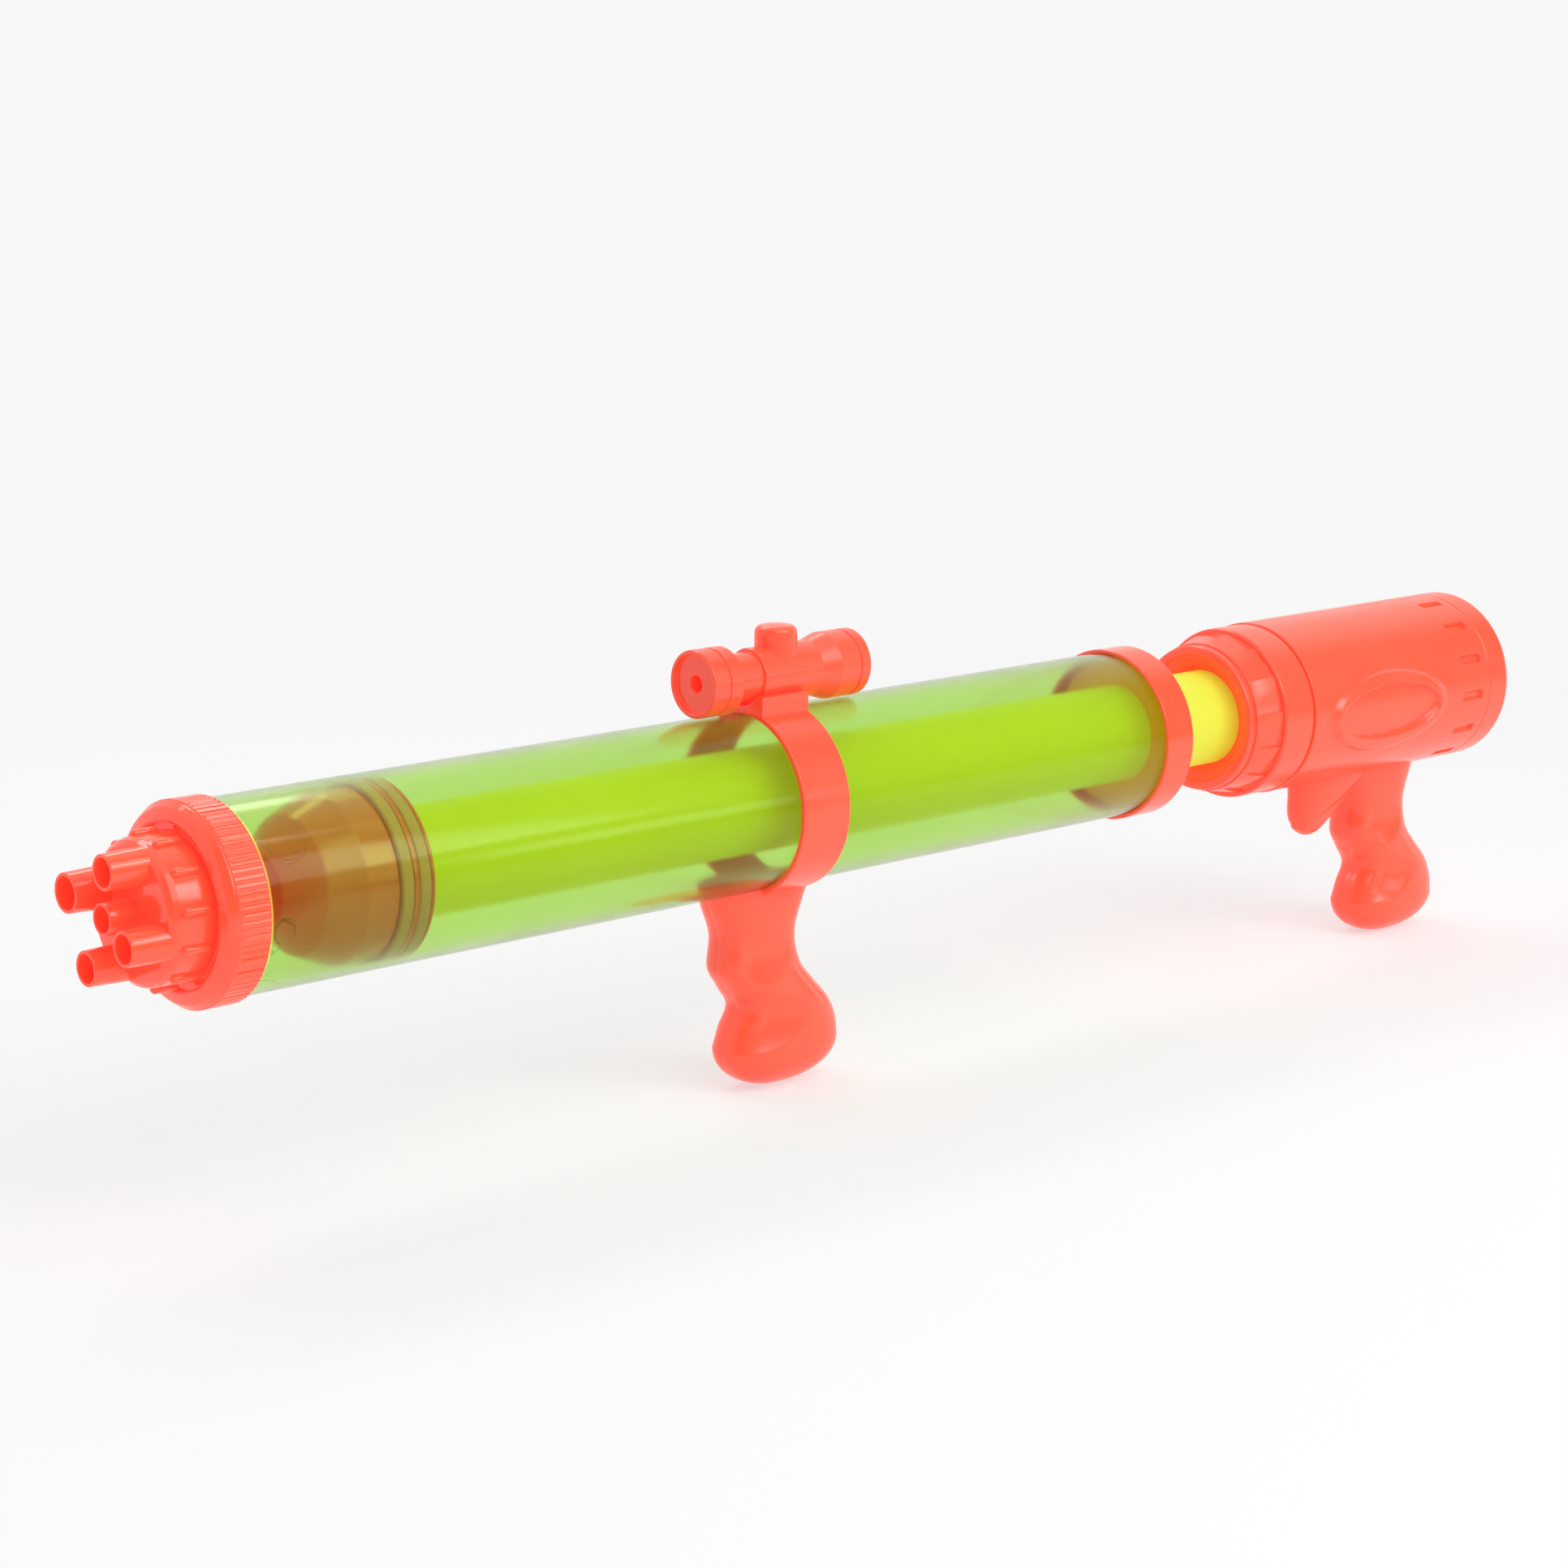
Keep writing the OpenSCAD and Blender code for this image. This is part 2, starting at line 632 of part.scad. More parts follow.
// Outline of the sight from its front face to its rear face
function sight_outline() =
    let (edge = 0.8, dip = bell_r - 0.5,
        x_bell = x_sight + front_bell, x_rear = x_sight_end - rear_bell,
        g0 = x_sight + bell_groove, g1 = x_sight_end - rear_groove)
    concat([[x_sight + lens_sink, peep_r], [x_sight + lens_sink, bell_r - bell_lip - 0.3],
        [x_sight + 0.3, bell_r - bell_lip]],
        round_edge([x_sight + edge, bell_r - edge], edge, 180, 90, 4),
        [[g0 - groove_w / 2, bell_r], [g0, dip], [g0 + groove_w / 2, bell_r]],
        round_edge([x_bell - edge, bell_r - edge], edge, 90, 20, 3),
        [[x_bell + bell_taper, neck_r]],
        [[x_step, neck_r], [x_step, scope_r - 0.5], [x_step + 0.5, scope_r],
        [x_rear - rear_cone, scope_r],
        [x_rear - rear_cone * 0.1, bell_r - 0.25], [x_rear, bell_r],
        [g1 - groove_w / 2, bell_r], [g1, dip], [g1 + groove_w / 2, bell_r]],
        round_edge([x_sight_end - edge, bell_r - edge], edge, 90, 0, 4),
        [[x_sight_end - 0.3, bell_r - bell_lip], [x_sight_end - lens_sink, bell_r - bell_lip - 0.3],
        [x_sight_end - lens_sink, peep_r]]);

module sight_body() {
    color(red) translate([0, 0, sight_z]) difference() {
        union() {
            revolve_x(sight_outline());
            translate([x_knob, 0, 0]) rotate_extrude() polygon(concat([[0, 0], [knob_r, 0]],
                round_edge([knob_r - knob_round, knob_rise - knob_round], knob_round, 0, 90),
                [[0, knob_rise]]));
        }
        bar_x(x_sight, x_sight_end, peep_r);
    }
}

module rear_end_cap() {
    out_r = barrel_r + cap_t;
    edge = 0.9;
    hole_r = rod_r + 0.5;
    color(red) revolve_x(concat([[x_tube_end - cap_grip, barrel_r + fit], [x_tube_end, barrel_r + fit],
        [x_tube_end, hole_r], [x_cap_end, hole_r]],
        round_edge([x_cap_end - edge, out_r - edge], edge, 0, 90, 4),
        [[x_tube_end - cap_grip + 0.4, out_r], [x_tube_end - cap_grip, out_r - 0.4]]));
}

module rod_bush() {
    color(red) tube_x(x_tube_end - bush_length, x_tube_end, rod_r + running, bore_r - fit);
}

module plunger_rod() {
    color(rod_yellow) difference() {
        tube_x(rod_x0, rod_x1, rod_r - rod_wall, rod_r);
        bar_y(x_pin, 0, -handle_r, handle_r, pin_r + fit);
        bar_y(x_piston_pin, 0, -handle_r, handle_r, pin_r + fit);
    }
}

module piston_body() {
    nose_end = x_piston + nose_length;
    groove_r = seal_in_r - running;
    front0 = x_seal_front - seal_play;
    front1 = x_seal_front + seal_w + seal_play;
    rear0 = x_seal_rear - seal_play;
    rear1 = x_seal_rear + seal_w + seal_play;
    core_r = rod_r - rod_wall - 1;
    bulge = (nose_r + piston_r) / 2 + 3;
    color(red) difference() {
        revolve_x([[x_piston, 0], [x_piston, nose_r - 1.5], [x_piston + 1.5, nose_r],
            [x_piston + nose_length * 0.45, bulge], [nose_end, piston_r], [front0, piston_r],
            [front0, groove_r], [front1, groove_r], [front1, land_r], [rear0, land_r],
            [rear0, groove_r], [rear1, groove_r], [rear1, land_r], [x_piston_end, land_r],
            [x_piston_end, rod_bore_r], [rod_x0, rod_bore_r], [rod_x0, core_r],
            [x_piston + nose_length * 0.6, core_r - 5], [x_piston + nose_length * 0.6, 0]]);
        bar_y(x_piston_pin, 0, -barrel_r, barrel_r, pin_r + fit);
    }
}

module piston_seal_front() {
    color(seal_tan) tube_x(x_seal_front, x_seal_front + seal_w, seal_in_r, seal_out_r);
}

module piston_seal_rear() {
    color(seal_tan) tube_x(x_seal_rear, x_seal_rear + seal_w, seal_in_r, seal_out_r);
}

module piston_pin() {
    reach = piston_r - 1;
    color(steel) bar_y(x_piston_pin, 0, -reach, reach, pin_r);
}

// Sawtooth pads round the nose's ring
module nose_teeth(x0, x1) {
    pad = 4.2;
    tilt = atan((tooth_ring_r - tooth_front_r) / (x1 - x0));
    for (i = [0:tooth_count - 1])
        rotate([360 * (i + 0.3) / tooth_count, 0, 0]) translate([x0, 0, tooth_front_r])
            rotate([0, -tilt, 0]) rotate([90, 0, 90]) linear_extrude(x1 - x0)
                polygon([[-pad / 2, -bite - 0.4], [pad / 2, -bite - 0.4],
                    [pad / 2, 0.9], [-pad / 2, -0.1]]);
}

module handle_nose() {
    x_ring = x_nose + 3.4;
    x_flange_face = x_body - flange_length;
    inner_r = flange_r - 3.2;
    rim = 1.9;
    edge = 1.2;
    color(red) {
        revolve_x(concat([[x_nose + dish_depth, rod_bore_r], [x_nose + 1.4, rim_r - 2 * rim]],
            round_edge([x_nose + rim, rim_r - rim], rim, 180, 90),
            [[x_ring, rim_r], [x_ring, tooth_front_r], [x_flange_face, tooth_ring_r]],
            round_edge([x_flange_face + edge, flange_r - edge], edge, 180, 90, 4),
            [[x_body - 1, flange_r], [x_body - 1, flange_r - 0.7], [x_body, flange_r - 0.7],
            [x_body, shell_r - fit], [x_body + spigot_length, shell_r - fit],
            [x_body + spigot_length, shell_r - spigot_wall], [x_body, shell_r - spigot_wall],
            [x_flange_face, tooth_ring_r - 3.2], [x_nose + 8, tooth_ring_r - 3.2],
            [x_nose + 8, rod_bore_r]]));
        nose_teeth(x_ring + 0.6, x_flange_face + bite);
    }
}

// Upright prism across the handle with an oval outline
module oval_prism(length, height, y0, y1) {
    steps = 48;
    translate([x_body + body_length * 0.415, y1, -2]) rotate([90, 0, 0]) linear_extrude(y1 - y0)
        polygon([for (i = [0:steps - 1]) let (a = 360 * i / steps)
            [length / 2 * cos(a), height / 2 * sin(a)]]);
}

// Right half of the trigger nib
module nib_half() {
    translate([x_body + nib_setback, 0, -handle_r]) loft_half(nib_rings());
}

// Places of the handle's screws that lie in its round body
body_screw_places = [[rod_x1 + 6, 15], [x_end - 20, 15]];
body_screw_r = 4.6;

// The handle's hollow round body with the right side's oval and dashes
module round_body(right) {
    dash_x = x_end - 4.5 - dash_length;
    dash_first = 72;
    dash_pitch = 25.4;
    difference() {
        union() {
            bar_x(x_body, x_end, handle_r);
            intersection() {
                bar_x(x_body, x_end, handle_r + oval_rise);
                oval_prism(oval_length, oval_height, 10, 2 * handle_r);
            }
        }
        difference() {
            bar_x(x_body - bite, x_end + bite, shell_r);
            handle_inside();
        }
        bar_x(x_body - bite, rod_x1 + 0.5, rod_bore_r);
        difference() {
            oval_prism(oval_length - 2 * oval_border, oval_height - 2 * oval_border, 10, 2 * handle_r);
            bar_x(x_body, x_end, handle_r - oval_sink);
        }
        for (i = [0:dash_count - 1])
            rotate([dash_first - dash_pitch * i, 0, 0])
                translate([dash_x, handle_r - dash_depth, -dash_w / 2])
                    cube([dash_length, 2 * dash_depth, dash_w]);
        bar_y(x_pin, 0, -skirt - bite, rod_r + 7, pin_r + fit);
        for (p = body_screw_places) screw_hole(p[0], p[1], right);
    }
}

module handle_half(right) {
    root_r = shell_r + handle_wall / 2;
    mirror([0, right ? 0 : 1, 0]) difference() {
        union() {
            round_body(right);
            difference() {
                nib_half();
                bar_x(x_body - 5, x_end + 5, root_r);
            }
            difference() {
                translate([grip_x_rear, 0, -handle_r]) grip_half();
                bar_x(x_body - 5, x_end + 15, root_r);
                for (p = grip_screw_places) screw_hole(grip_x_rear + p[0], -handle_r - p[1], right);
            }
        }
        other_side(x_body - 5, x_end + 15);
    }
}

// Right half of what stands inside the handle's shell: rod wall, pin boss and screw posts
module handle_inside() {
    wall_t = 4;
    wall_r = shell_r + 1;
    reach = shell_r + 6;
    x_wall = x_body + spigot_length + 1;
    bar_x(x_wall, x_wall + wall_t, wall_r);
    bar_x(rod_x1 - 2, rod_x1 + wall_t, wall_r);
    bar_y(x_pin, 0, -reach, reach, pin_r + 3);
    for (p = body_screw_places) bar_y(p[0], p[1], -reach, reach, body_screw_r);
}

module handle_left() {
    color(red) handle_half(false);
}

module handle_right() {
    color(red) handle_half(true);
}

module handle_end_cap() {
    color(red) revolve_x(concat([[x_end - spigot_length, shell_r - fit - spigot_wall],
        [x_end - spigot_length, shell_r - fit], [x_end, shell_r - fit], [x_end, handle_r - 0.5],
        [x_end + 0.5, handle_r]],
        round_edge([x_back - end_round, handle_r - end_round], end_round, 90, 0),
        [[x_back, 0], [x_back - handle_wall, 0], [x_back - handle_wall, shell_r - fit - spigot_wall]]));
}

module handle_screws() {
    color(steel) {
        for (p = grip_screw_places) screw(grip_x_rear + p[0], -handle_r - p[1]);
        for (p = body_screw_places) screw(p[0], p[1]);
    }
}

module handle_pin() {
    reach = rod_r + 6.5;
    color(steel) bar_y(x_pin, 0, -reach, reach, pin_r);
}

barrel_tube();
nozzle_head();
nozzle_collar();
nozzle_gasket();
foregrip_left();
foregrip_right();
foregrip_screws();
sight_body();
rear_end_cap();
rod_bush();
plunger_rod();
piston_body();
piston_seal_front();
piston_seal_rear();
piston_pin();
handle_nose();
handle_left();
handle_right();
handle_end_cap();
handle_screws();
handle_pin();
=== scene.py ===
"""Looks of a pump-action water squirter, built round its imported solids. Sizes are in millimetres."""

import math

import bmesh
import bpy
from mathutils import Matrix, Vector

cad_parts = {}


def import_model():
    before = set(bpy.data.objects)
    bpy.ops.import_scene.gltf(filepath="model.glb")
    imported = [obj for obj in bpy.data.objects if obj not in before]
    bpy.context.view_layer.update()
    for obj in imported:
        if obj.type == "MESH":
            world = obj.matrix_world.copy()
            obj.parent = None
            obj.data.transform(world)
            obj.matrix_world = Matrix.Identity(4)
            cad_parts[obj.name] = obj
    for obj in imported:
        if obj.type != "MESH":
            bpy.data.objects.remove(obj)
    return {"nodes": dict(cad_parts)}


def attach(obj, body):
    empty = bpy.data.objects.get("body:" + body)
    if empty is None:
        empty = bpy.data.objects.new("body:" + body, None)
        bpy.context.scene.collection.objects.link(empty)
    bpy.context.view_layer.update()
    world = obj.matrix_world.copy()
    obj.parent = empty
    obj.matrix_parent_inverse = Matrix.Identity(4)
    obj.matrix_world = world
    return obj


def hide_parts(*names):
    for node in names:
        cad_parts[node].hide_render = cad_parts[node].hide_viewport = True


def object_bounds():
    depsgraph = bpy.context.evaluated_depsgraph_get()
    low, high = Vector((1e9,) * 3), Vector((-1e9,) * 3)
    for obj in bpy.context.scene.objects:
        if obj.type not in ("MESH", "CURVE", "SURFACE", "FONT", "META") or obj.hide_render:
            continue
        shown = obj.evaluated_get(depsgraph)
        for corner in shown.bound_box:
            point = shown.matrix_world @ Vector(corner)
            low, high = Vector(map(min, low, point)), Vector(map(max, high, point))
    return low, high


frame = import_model()
cad_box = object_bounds()
nodes = frame["nodes"]

MM = 0.001
TURN = 2 * math.pi
QUARTER = math.pi / 2

# Points closer than this, in metres, are one point
SLIVER = 2e-6

# Places along the barrel, from the middle jet's mouth to the rear
X_FACE, X_HEAD_INNER, X_FLANGE, X_GASKET = 9.0, 12.4, 25.0, 27.5
X_TUBE, X_TUBE_END, X_CAP_END = 29.0, 433.5, 436.5
X_CLAMP, X_CLAMP_END = 245.0, 265.5
X_SIGHT, X_SIGHT_END, X_STEP, X_KNOB = 224.2, 294.2, 248.2, 260.8
X_PISTON, X_SEALS, X_PISTON_END, X_ROD, X_ROD_END = 54.6, (86.0, 92.4), 98.1, 78.1, 524.0
X_NOSE, X_BODY, X_END, X_BACK = 472.0, 503.5, 610.0, 622.5
X_FOREGRIP, X_HANDLE_GRIP, X_NIB = 255.25, 582.0, 531.1

# Radii and heights
BARREL_R, BORE_R, CLAMP_R = 30.0, 28.2, 31.8
HANDLE_R, SHELL_R, ROOT_R = 32.6, 30.2, 31.4
ROD_R, ROD_BORE_R = 17.6, 16.0
SIGHT_Z, SIGHT_SEAT_R, SADDLE_Z, SADDLE_HALF = 42.0, 9.45, 36.5, 11.0
FIT = 0.05


# Outlines and solids

def rounded(corners, steps=4):
    """Closed outline through (place, radius, fillet) corners.

    Each fillet is an arc, with a point on both sides that holds the flats flat when shaded."""
    outline = []
    count = len(corners)
    for i, (x, r, fillet) in enumerate(corners):
        here = Vector((x, r))
        if fillet <= 0:
            outline.append((x, r))
            continue
        back = Vector(corners[i - 1][:2]) - here
        ahead = Vector(corners[(i + 1) % count][:2]) - here
        room = 0.45 * min(back.length, ahead.length)
        hold = min(0.15, 0.08 * room)
        back.normalize()
        ahead.normalize()
        half = math.acos(max(-1.0, min(1.0, back.dot(ahead)))) / 2
        run = min(fillet / math.tan(half), room)
        radius = run * math.tan(half)
        centre = here + (back + ahead).normalized() * (radius / math.sin(half))
        first = here + back * run - centre
        last = here + ahead * run - centre
        start = math.atan2(first.y, first.x)
        sweep = (math.atan2(last.y, last.x) - start + math.pi) % TURN - math.pi
        outline.append(tuple(here + back * (run + hold)))
        for k in range(steps + 1):
            a = start + sweep * k / steps
            outline.append((centre.x + radius * math.cos(a), centre.y + radius * math.sin(a)))
        outline.append(tuple(here + ahead * (run + hold)))
    return outline


# Ways to lay a turned piece along an axis

def on_x(place, u, v):
    return (place, u, v)


def on_y(place, u, v):
    return (u, place, v)


def on_z(place, u, v):
    return (u, v, place)


def turned(outline, segments=128, axis=on_x, centre=(0, 0, 0)):
    """Points and faces of an outline of (place, radius) turned about an axis through centre."""
    points, faces, rings = [], [], []
    for place, r in outline:
        if r < 1e-6:
            rings.append([len(points)])
            points.append(axis(place, 0, 0))
            continue
        rings.append(list(range(len(points), len(points) + segments)))
        for k in range(segments):
            a = TURN * k / segments
            points.append(axis(place, r * math.cos(a), r * math.sin(a)))
    for i, ring in enumerate(rings):
        after = rings[(i + 1) % len(rings)]
        if len(ring) == 1 and len(after) == 1:
            continue
        for k in range(segments):
            m = (k + 1) % segments
            corners = [ring[k % len(ring)], ring[m % len(ring)],
                       after[m % len(after)], after[k % len(after)]]
            faces.append(list(dict.fromkeys(corners)))
    return [tuple(p[i] + centre[i] for i in range(3)) for p in points], faces


def bar(x0, x1, r, segments=64, axis=on_x, centre=(0, 0, 0)):
    """Points and faces of a plain round bar along an axis."""
    return turned([(x0, 0), (x0, r), (x1, r), (x1, 0)], segments, axis, centre)


def lofted(rings):
    """Points and faces through closed rings of the same count, capped at both ends."""
    width = len(rings[0])
    points = [p for ring in rings for p in ring]
    faces = [[i * width + j, i * width + (j + 1) % width,
              (i + 1) * width + (j + 1) % width, (i + 1) * width + j]
             for i in range(len(rings) - 1) for j in range(width)]
    faces.append(list(range(width)))
    faces.append(list(range((len(rings) - 1) * width, len(rings) * width)))
    return points, faces


def box(low, high):
    """Points and faces of a plain box between two opposite corners."""
    ring = [(low[0], low[1]), (high[0], low[1]), (high[0], high[1]), (low[0], high[1])]
    return lofted([[(x, y, z) for x, y in ring] for z in (low[2], high[2])])


def on_arc(x, r, a):
    """Point at a radius and an angle up from +Y, exactly on the middle plane at the arc's two ends."""
    y = 0.0 if QUARTER - abs(a) < 1e-4 else r * math.cos(a)
    return (x, y, r * math.sin(a))


def mirrored(shape):
    """Mirror image of a shape in the middle plane."""
    points, faces = shape
    return [(x, -y, z) for x, y, z in points], faces


def solid(name, shape):
    """Object from points in millimetres and faces, closed, with its faces outwards."""
    points, faces = shape
    mesh = bpy.data.meshes.new(name)
    mesh.from_pydata([Vector(p) * MM for p in points], [], faces)
    work = bmesh.new()
    work.from_mesh(mesh)
    bmesh.ops.remove_doubles(work, verts=work.verts, dist=1e-6)
    bmesh.ops.recalc_face_normals(work, faces=work.faces)
    work.to_mesh(mesh)
    work.free()
    obj = bpy.data.objects.new(name, mesh)
    bpy.context.scene.collection.objects.link(obj)
    return obj


def settled(obj):
    """Turns what the modifiers make into the object's plain mesh."""
    bpy.context.view_layer.update()
    graph = bpy.context.evaluated_depsgraph_get()
    mesh = bpy.data.meshes.new_from_object(obj.evaluated_get(graph))
    obj.modifiers.clear()
    obj.data = mesh
    return obj


def combined(base, operation, *tools):
    """Joins the tools to the base, or cuts them from it, as one closed solid."""
    for tool in tools:
        step = base.modifiers.new(operation.lower(), "BOOLEAN")
        step.operation = operation
        step.object = tool
        step.solver = "MANIFOLD"
    settled(base)
    for tool in tools:
        bpy.data.objects.remove(tool)
    return base


def cleared(mesh):
    """Takes out the sliver faces that cutting and joining leave."""
    work = bmesh.new()
    work.from_mesh(mesh)
    bmesh.ops.remove_doubles(work, verts=work.verts, dist=SLIVER)
    bmesh.ops.dissolve_degenerate(work, dist=SLIVER, edges=work.edges)
    work.to_mesh(mesh)
    work.free()


def dressed(obj, body, slot, finish, *replaced, sharp=34):
    """Gives a finished piece its shading, finish and body, and hides the nodes it stands for. The slot is
    not used.
    """
    mesh = obj.data
    cleared(mesh)
    mesh.shade_smooth()
    mesh.set_sharp_from_angle(angle=math.radians(sharp))
    mesh.materials.clear()
    mesh.materials.append(finish)
    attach(obj, body)
    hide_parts(*replaced)
    return obj


# Node trees

def add(tree, kind, **settings):
    """New node of a kind, with its settings."""
    made = tree.nodes.new(kind)
    for key, value in settings.items():
        setattr(made, key, value)
    return made


def sockets(tree, direction, **kinds):
    """Named inputs or outputs of a tree."""
    for name, kind in kinds.items():
        tree.interface.new_socket(name.replace("_", " "), in_out=direction, socket_type="NodeSocket" + kind)


def maths(tree, operation, *values, clamp=False):
    """Math node with numbers or sockets for its inputs; gives its output."""
    made = add(tree, "ShaderNodeMath", operation=operation, use_clamp=clamp)
    for i, value in enumerate(values):
        if isinstance(value, (int, float)):
            made.inputs[i].default_value = value
        else:
            tree.links.new(value, made.inputs[i])
    return made.outputs[0]


def ranged(tree, value, low, high, out_low=0.0, out_high=1.0, smooth=False):
    """Map Range node from low..high to out_low..out_high; gives its output."""
    made = add(tree, "ShaderNodeMapRange", interpolation_type="SMOOTHSTEP" if smooth else "LINEAR")
    for name, number in (("From Min", low), ("From Max", high), ("To Min", out_low), ("To Max", out_high)):
        if isinstance(number, (int, float)):
            made.inputs[name].default_value = number
        else:
            tree.links.new(number, made.inputs[name])
    tree.links.new(value, made.inputs["Value"])
    return made.outputs["Result"]


def length_of(tree, a, b):
    """Length of a vector with two parts; gives its output."""
    squares = maths(tree, "ADD", maths(tree, "MULTIPLY", a, a), maths(tree, "MULTIPLY", b, b))
    return maths(tree, "SQRT", squares)


def parts(tree, vector):
    """The x, y and z of a vector."""
    made = add(tree, "ShaderNodeSeparateXYZ")
    tree.links.new(vector, made.inputs[0])
    return made.outputs


def finished(tree, shape, finish, result):
    """Ends a geometry tree: real faces with their material."""
    real = add(tree, "GeometryNodeRealizeInstances")
    tree.links.new(shape, real.inputs[0])
    paint = add(tree, "GeometryNodeSetMaterial")
    tree.links.new(real.outputs[0], paint.inputs["Geometry"])
    tree.links.new(finish, paint.inputs["Material"])
    tree.links.new(paint.outputs[0], result)


def noise(tree, vector, scale, **settings):
    """Noise over a vector, with its scale a number or a socket; gives its value."""
    made = add(tree, "ShaderNodeTexNoise")
    tree.links.new(vector, made.inputs["Vector"])
    for name, value in dict(Scale=scale, **settings).items():
        if isinstance(value, (int, float)):
            made.inputs[name].default_value = value
        else:
            tree.links.new(value, made.inputs[name])
    return made.outputs[0]


def blended(tree, share, first, second):
    """Mix of two colours, each a tuple or a socket; gives its output."""
    made = add(tree, "ShaderNodeMix", data_type="RGBA")
    tree.links.new(share, made.inputs[0])
    for slot, color in ((6, first), (7, second)):
        if isinstance(color, tuple):
            made.inputs[slot].default_value = (*color, 1)
        else:
            tree.links.new(color, made.inputs[slot])
    return made.outputs[2]


def ring_tree():
    """Copies of one part in a ring about the barrel's axis."""
    tree = bpy.data.node_groups.new("ring_of_parts", "GeometryNodeTree")
    sockets(tree, "INPUT", Part="Geometry", Count="Int", Phase="Float", Finish="Material")
    sockets(tree, "OUTPUT", Ring="Geometry")
    given = add(tree, "NodeGroupInput").outputs
    result = add(tree, "NodeGroupOutput").inputs
    stands = add(tree, "GeometryNodePoints")
    tree.links.new(given["Count"], stands.inputs["Count"])
    place = maths(tree, "ADD", add(tree, "GeometryNodeInputIndex").outputs[0], given["Phase"])
    angle = maths(tree, "MULTIPLY", maths(tree, "DIVIDE", place, given["Count"]), TURN)
    turn = add(tree, "ShaderNodeCombineXYZ")
    tree.links.new(angle, turn.inputs["X"])
    facing = add(tree, "FunctionNodeEulerToRotation")
    tree.links.new(turn.outputs[0], facing.inputs[0])
    copies = add(tree, "GeometryNodeInstanceOnPoints")
    tree.links.new(stands.outputs[0], copies.inputs["Points"])
    tree.links.new(given["Part"], copies.inputs["Instance"])
    tree.links.new(facing.outputs[0], copies.inputs["Rotation"])
    finished(tree, copies.outputs[0], given["Finish"], result["Ring"])
    return tree


def knurl_tree():
    """V grooves along the barrel, cut into a turned ring between two places, some shallower than others."""
    tree = bpy.data.node_groups.new("knurled_band", "GeometryNodeTree")
    sockets(tree, "INPUT", Ring="Geometry", Teeth="Int", Depth="Float", From="Float", To="Float",
            Fade="Float", Above="Float", Shallow="Float", Finish="Material")
    sockets(tree, "OUTPUT", Band="Geometry")
    given = add(tree, "NodeGroupInput").outputs
    result = add(tree, "NodeGroupOutput").inputs
    x, y, z = parts(tree, add(tree, "GeometryNodeInputPosition").outputs[0])
    angle = maths(tree, "DIVIDE", maths(tree, "ARCTAN2", z, y), TURN)
    step = maths(tree, "MULTIPLY", angle, given["Teeth"])
    groove = ranged(tree, maths(tree, "PINGPONG", step, 0.5), 0.28, 0.02, smooth=True)
    number = maths(tree, "ROUND", step)
    uneven = add(tree, "FunctionNodeRandomValue", data_type="FLOAT")
    tree.links.new(number, uneven.inputs["ID"])
    uneven.inputs["Seed"].default_value = 7
    tree.links.new(given["Shallow"], uneven.inputs[2])
    groove = maths(tree, "MULTIPLY", groove, uneven.outputs[1])
    front = ranged(tree, x, given["From"], maths(tree, "ADD", given["From"], given["Fade"]), smooth=True)
    rear = ranged(tree, x, given["To"], maths(tree, "SUBTRACT", given["To"], given["Fade"]), smooth=True)
    radius = length_of(tree, y, z)
    outside = maths(tree, "GREATER_THAN", radius, given["Above"])
    where = maths(tree, "MULTIPLY", maths(tree, "MULTIPLY", front, rear), outside)
    cut = maths(tree, "MULTIPLY", maths(tree, "MULTIPLY", groove, where), given["Depth"])
    share = maths(tree, "MULTIPLY", maths(tree, "DIVIDE", cut, radius), -1.0)
    inward = add(tree, "ShaderNodeCombineXYZ")
    tree.links.new(maths(tree, "MULTIPLY", y, share), inward.inputs["Y"])
    tree.links.new(maths(tree, "MULTIPLY", z, share), inward.inputs["Z"])
    moved = add(tree, "GeometryNodeSetPosition")
    tree.links.new(given["Ring"], moved.inputs["Geometry"])
    tree.links.new(inward.outputs[0], moved.inputs["Offset"])
    finished(tree, moved.outputs[0], given["Finish"], result["Band"])
    return tree


def grown(obj, tree, **values):
    """Runs a node tree on an object with its named inputs set, and keeps the plain mesh."""
    step = obj.modifiers.new(tree.name, "NODES")
    step.node_group = tree
    names = {item.name: item.identifier for item in tree.interface.items_tree if item.in_out == "INPUT"}
    for name, value in values.items():
        step[names[name]] = value
    return settled(obj)


# Finishes

def mottle_group():
    """Slow change of tone over a moulding, as a colour."""
    tree = bpy.data.node_groups.new("mottle", "ShaderNodeTree")
    sockets(tree, "INPUT", Vector="Vector", Light="Color", Deep="Color", Scale="Float")
    sockets(tree, "OUTPUT", Color="Color")
    given = add(tree, "NodeGroupInput").outputs
    cloud = noise(tree, given["Vector"], given["Scale"], Detail=3.0)
    tone = blended(tree, ranged(tree, cloud, 0.3, 0.7), given["Light"], given["Deep"])
    tree.links.new(tone, add(tree, "NodeGroupOutput").inputs["Color"])
    return tree


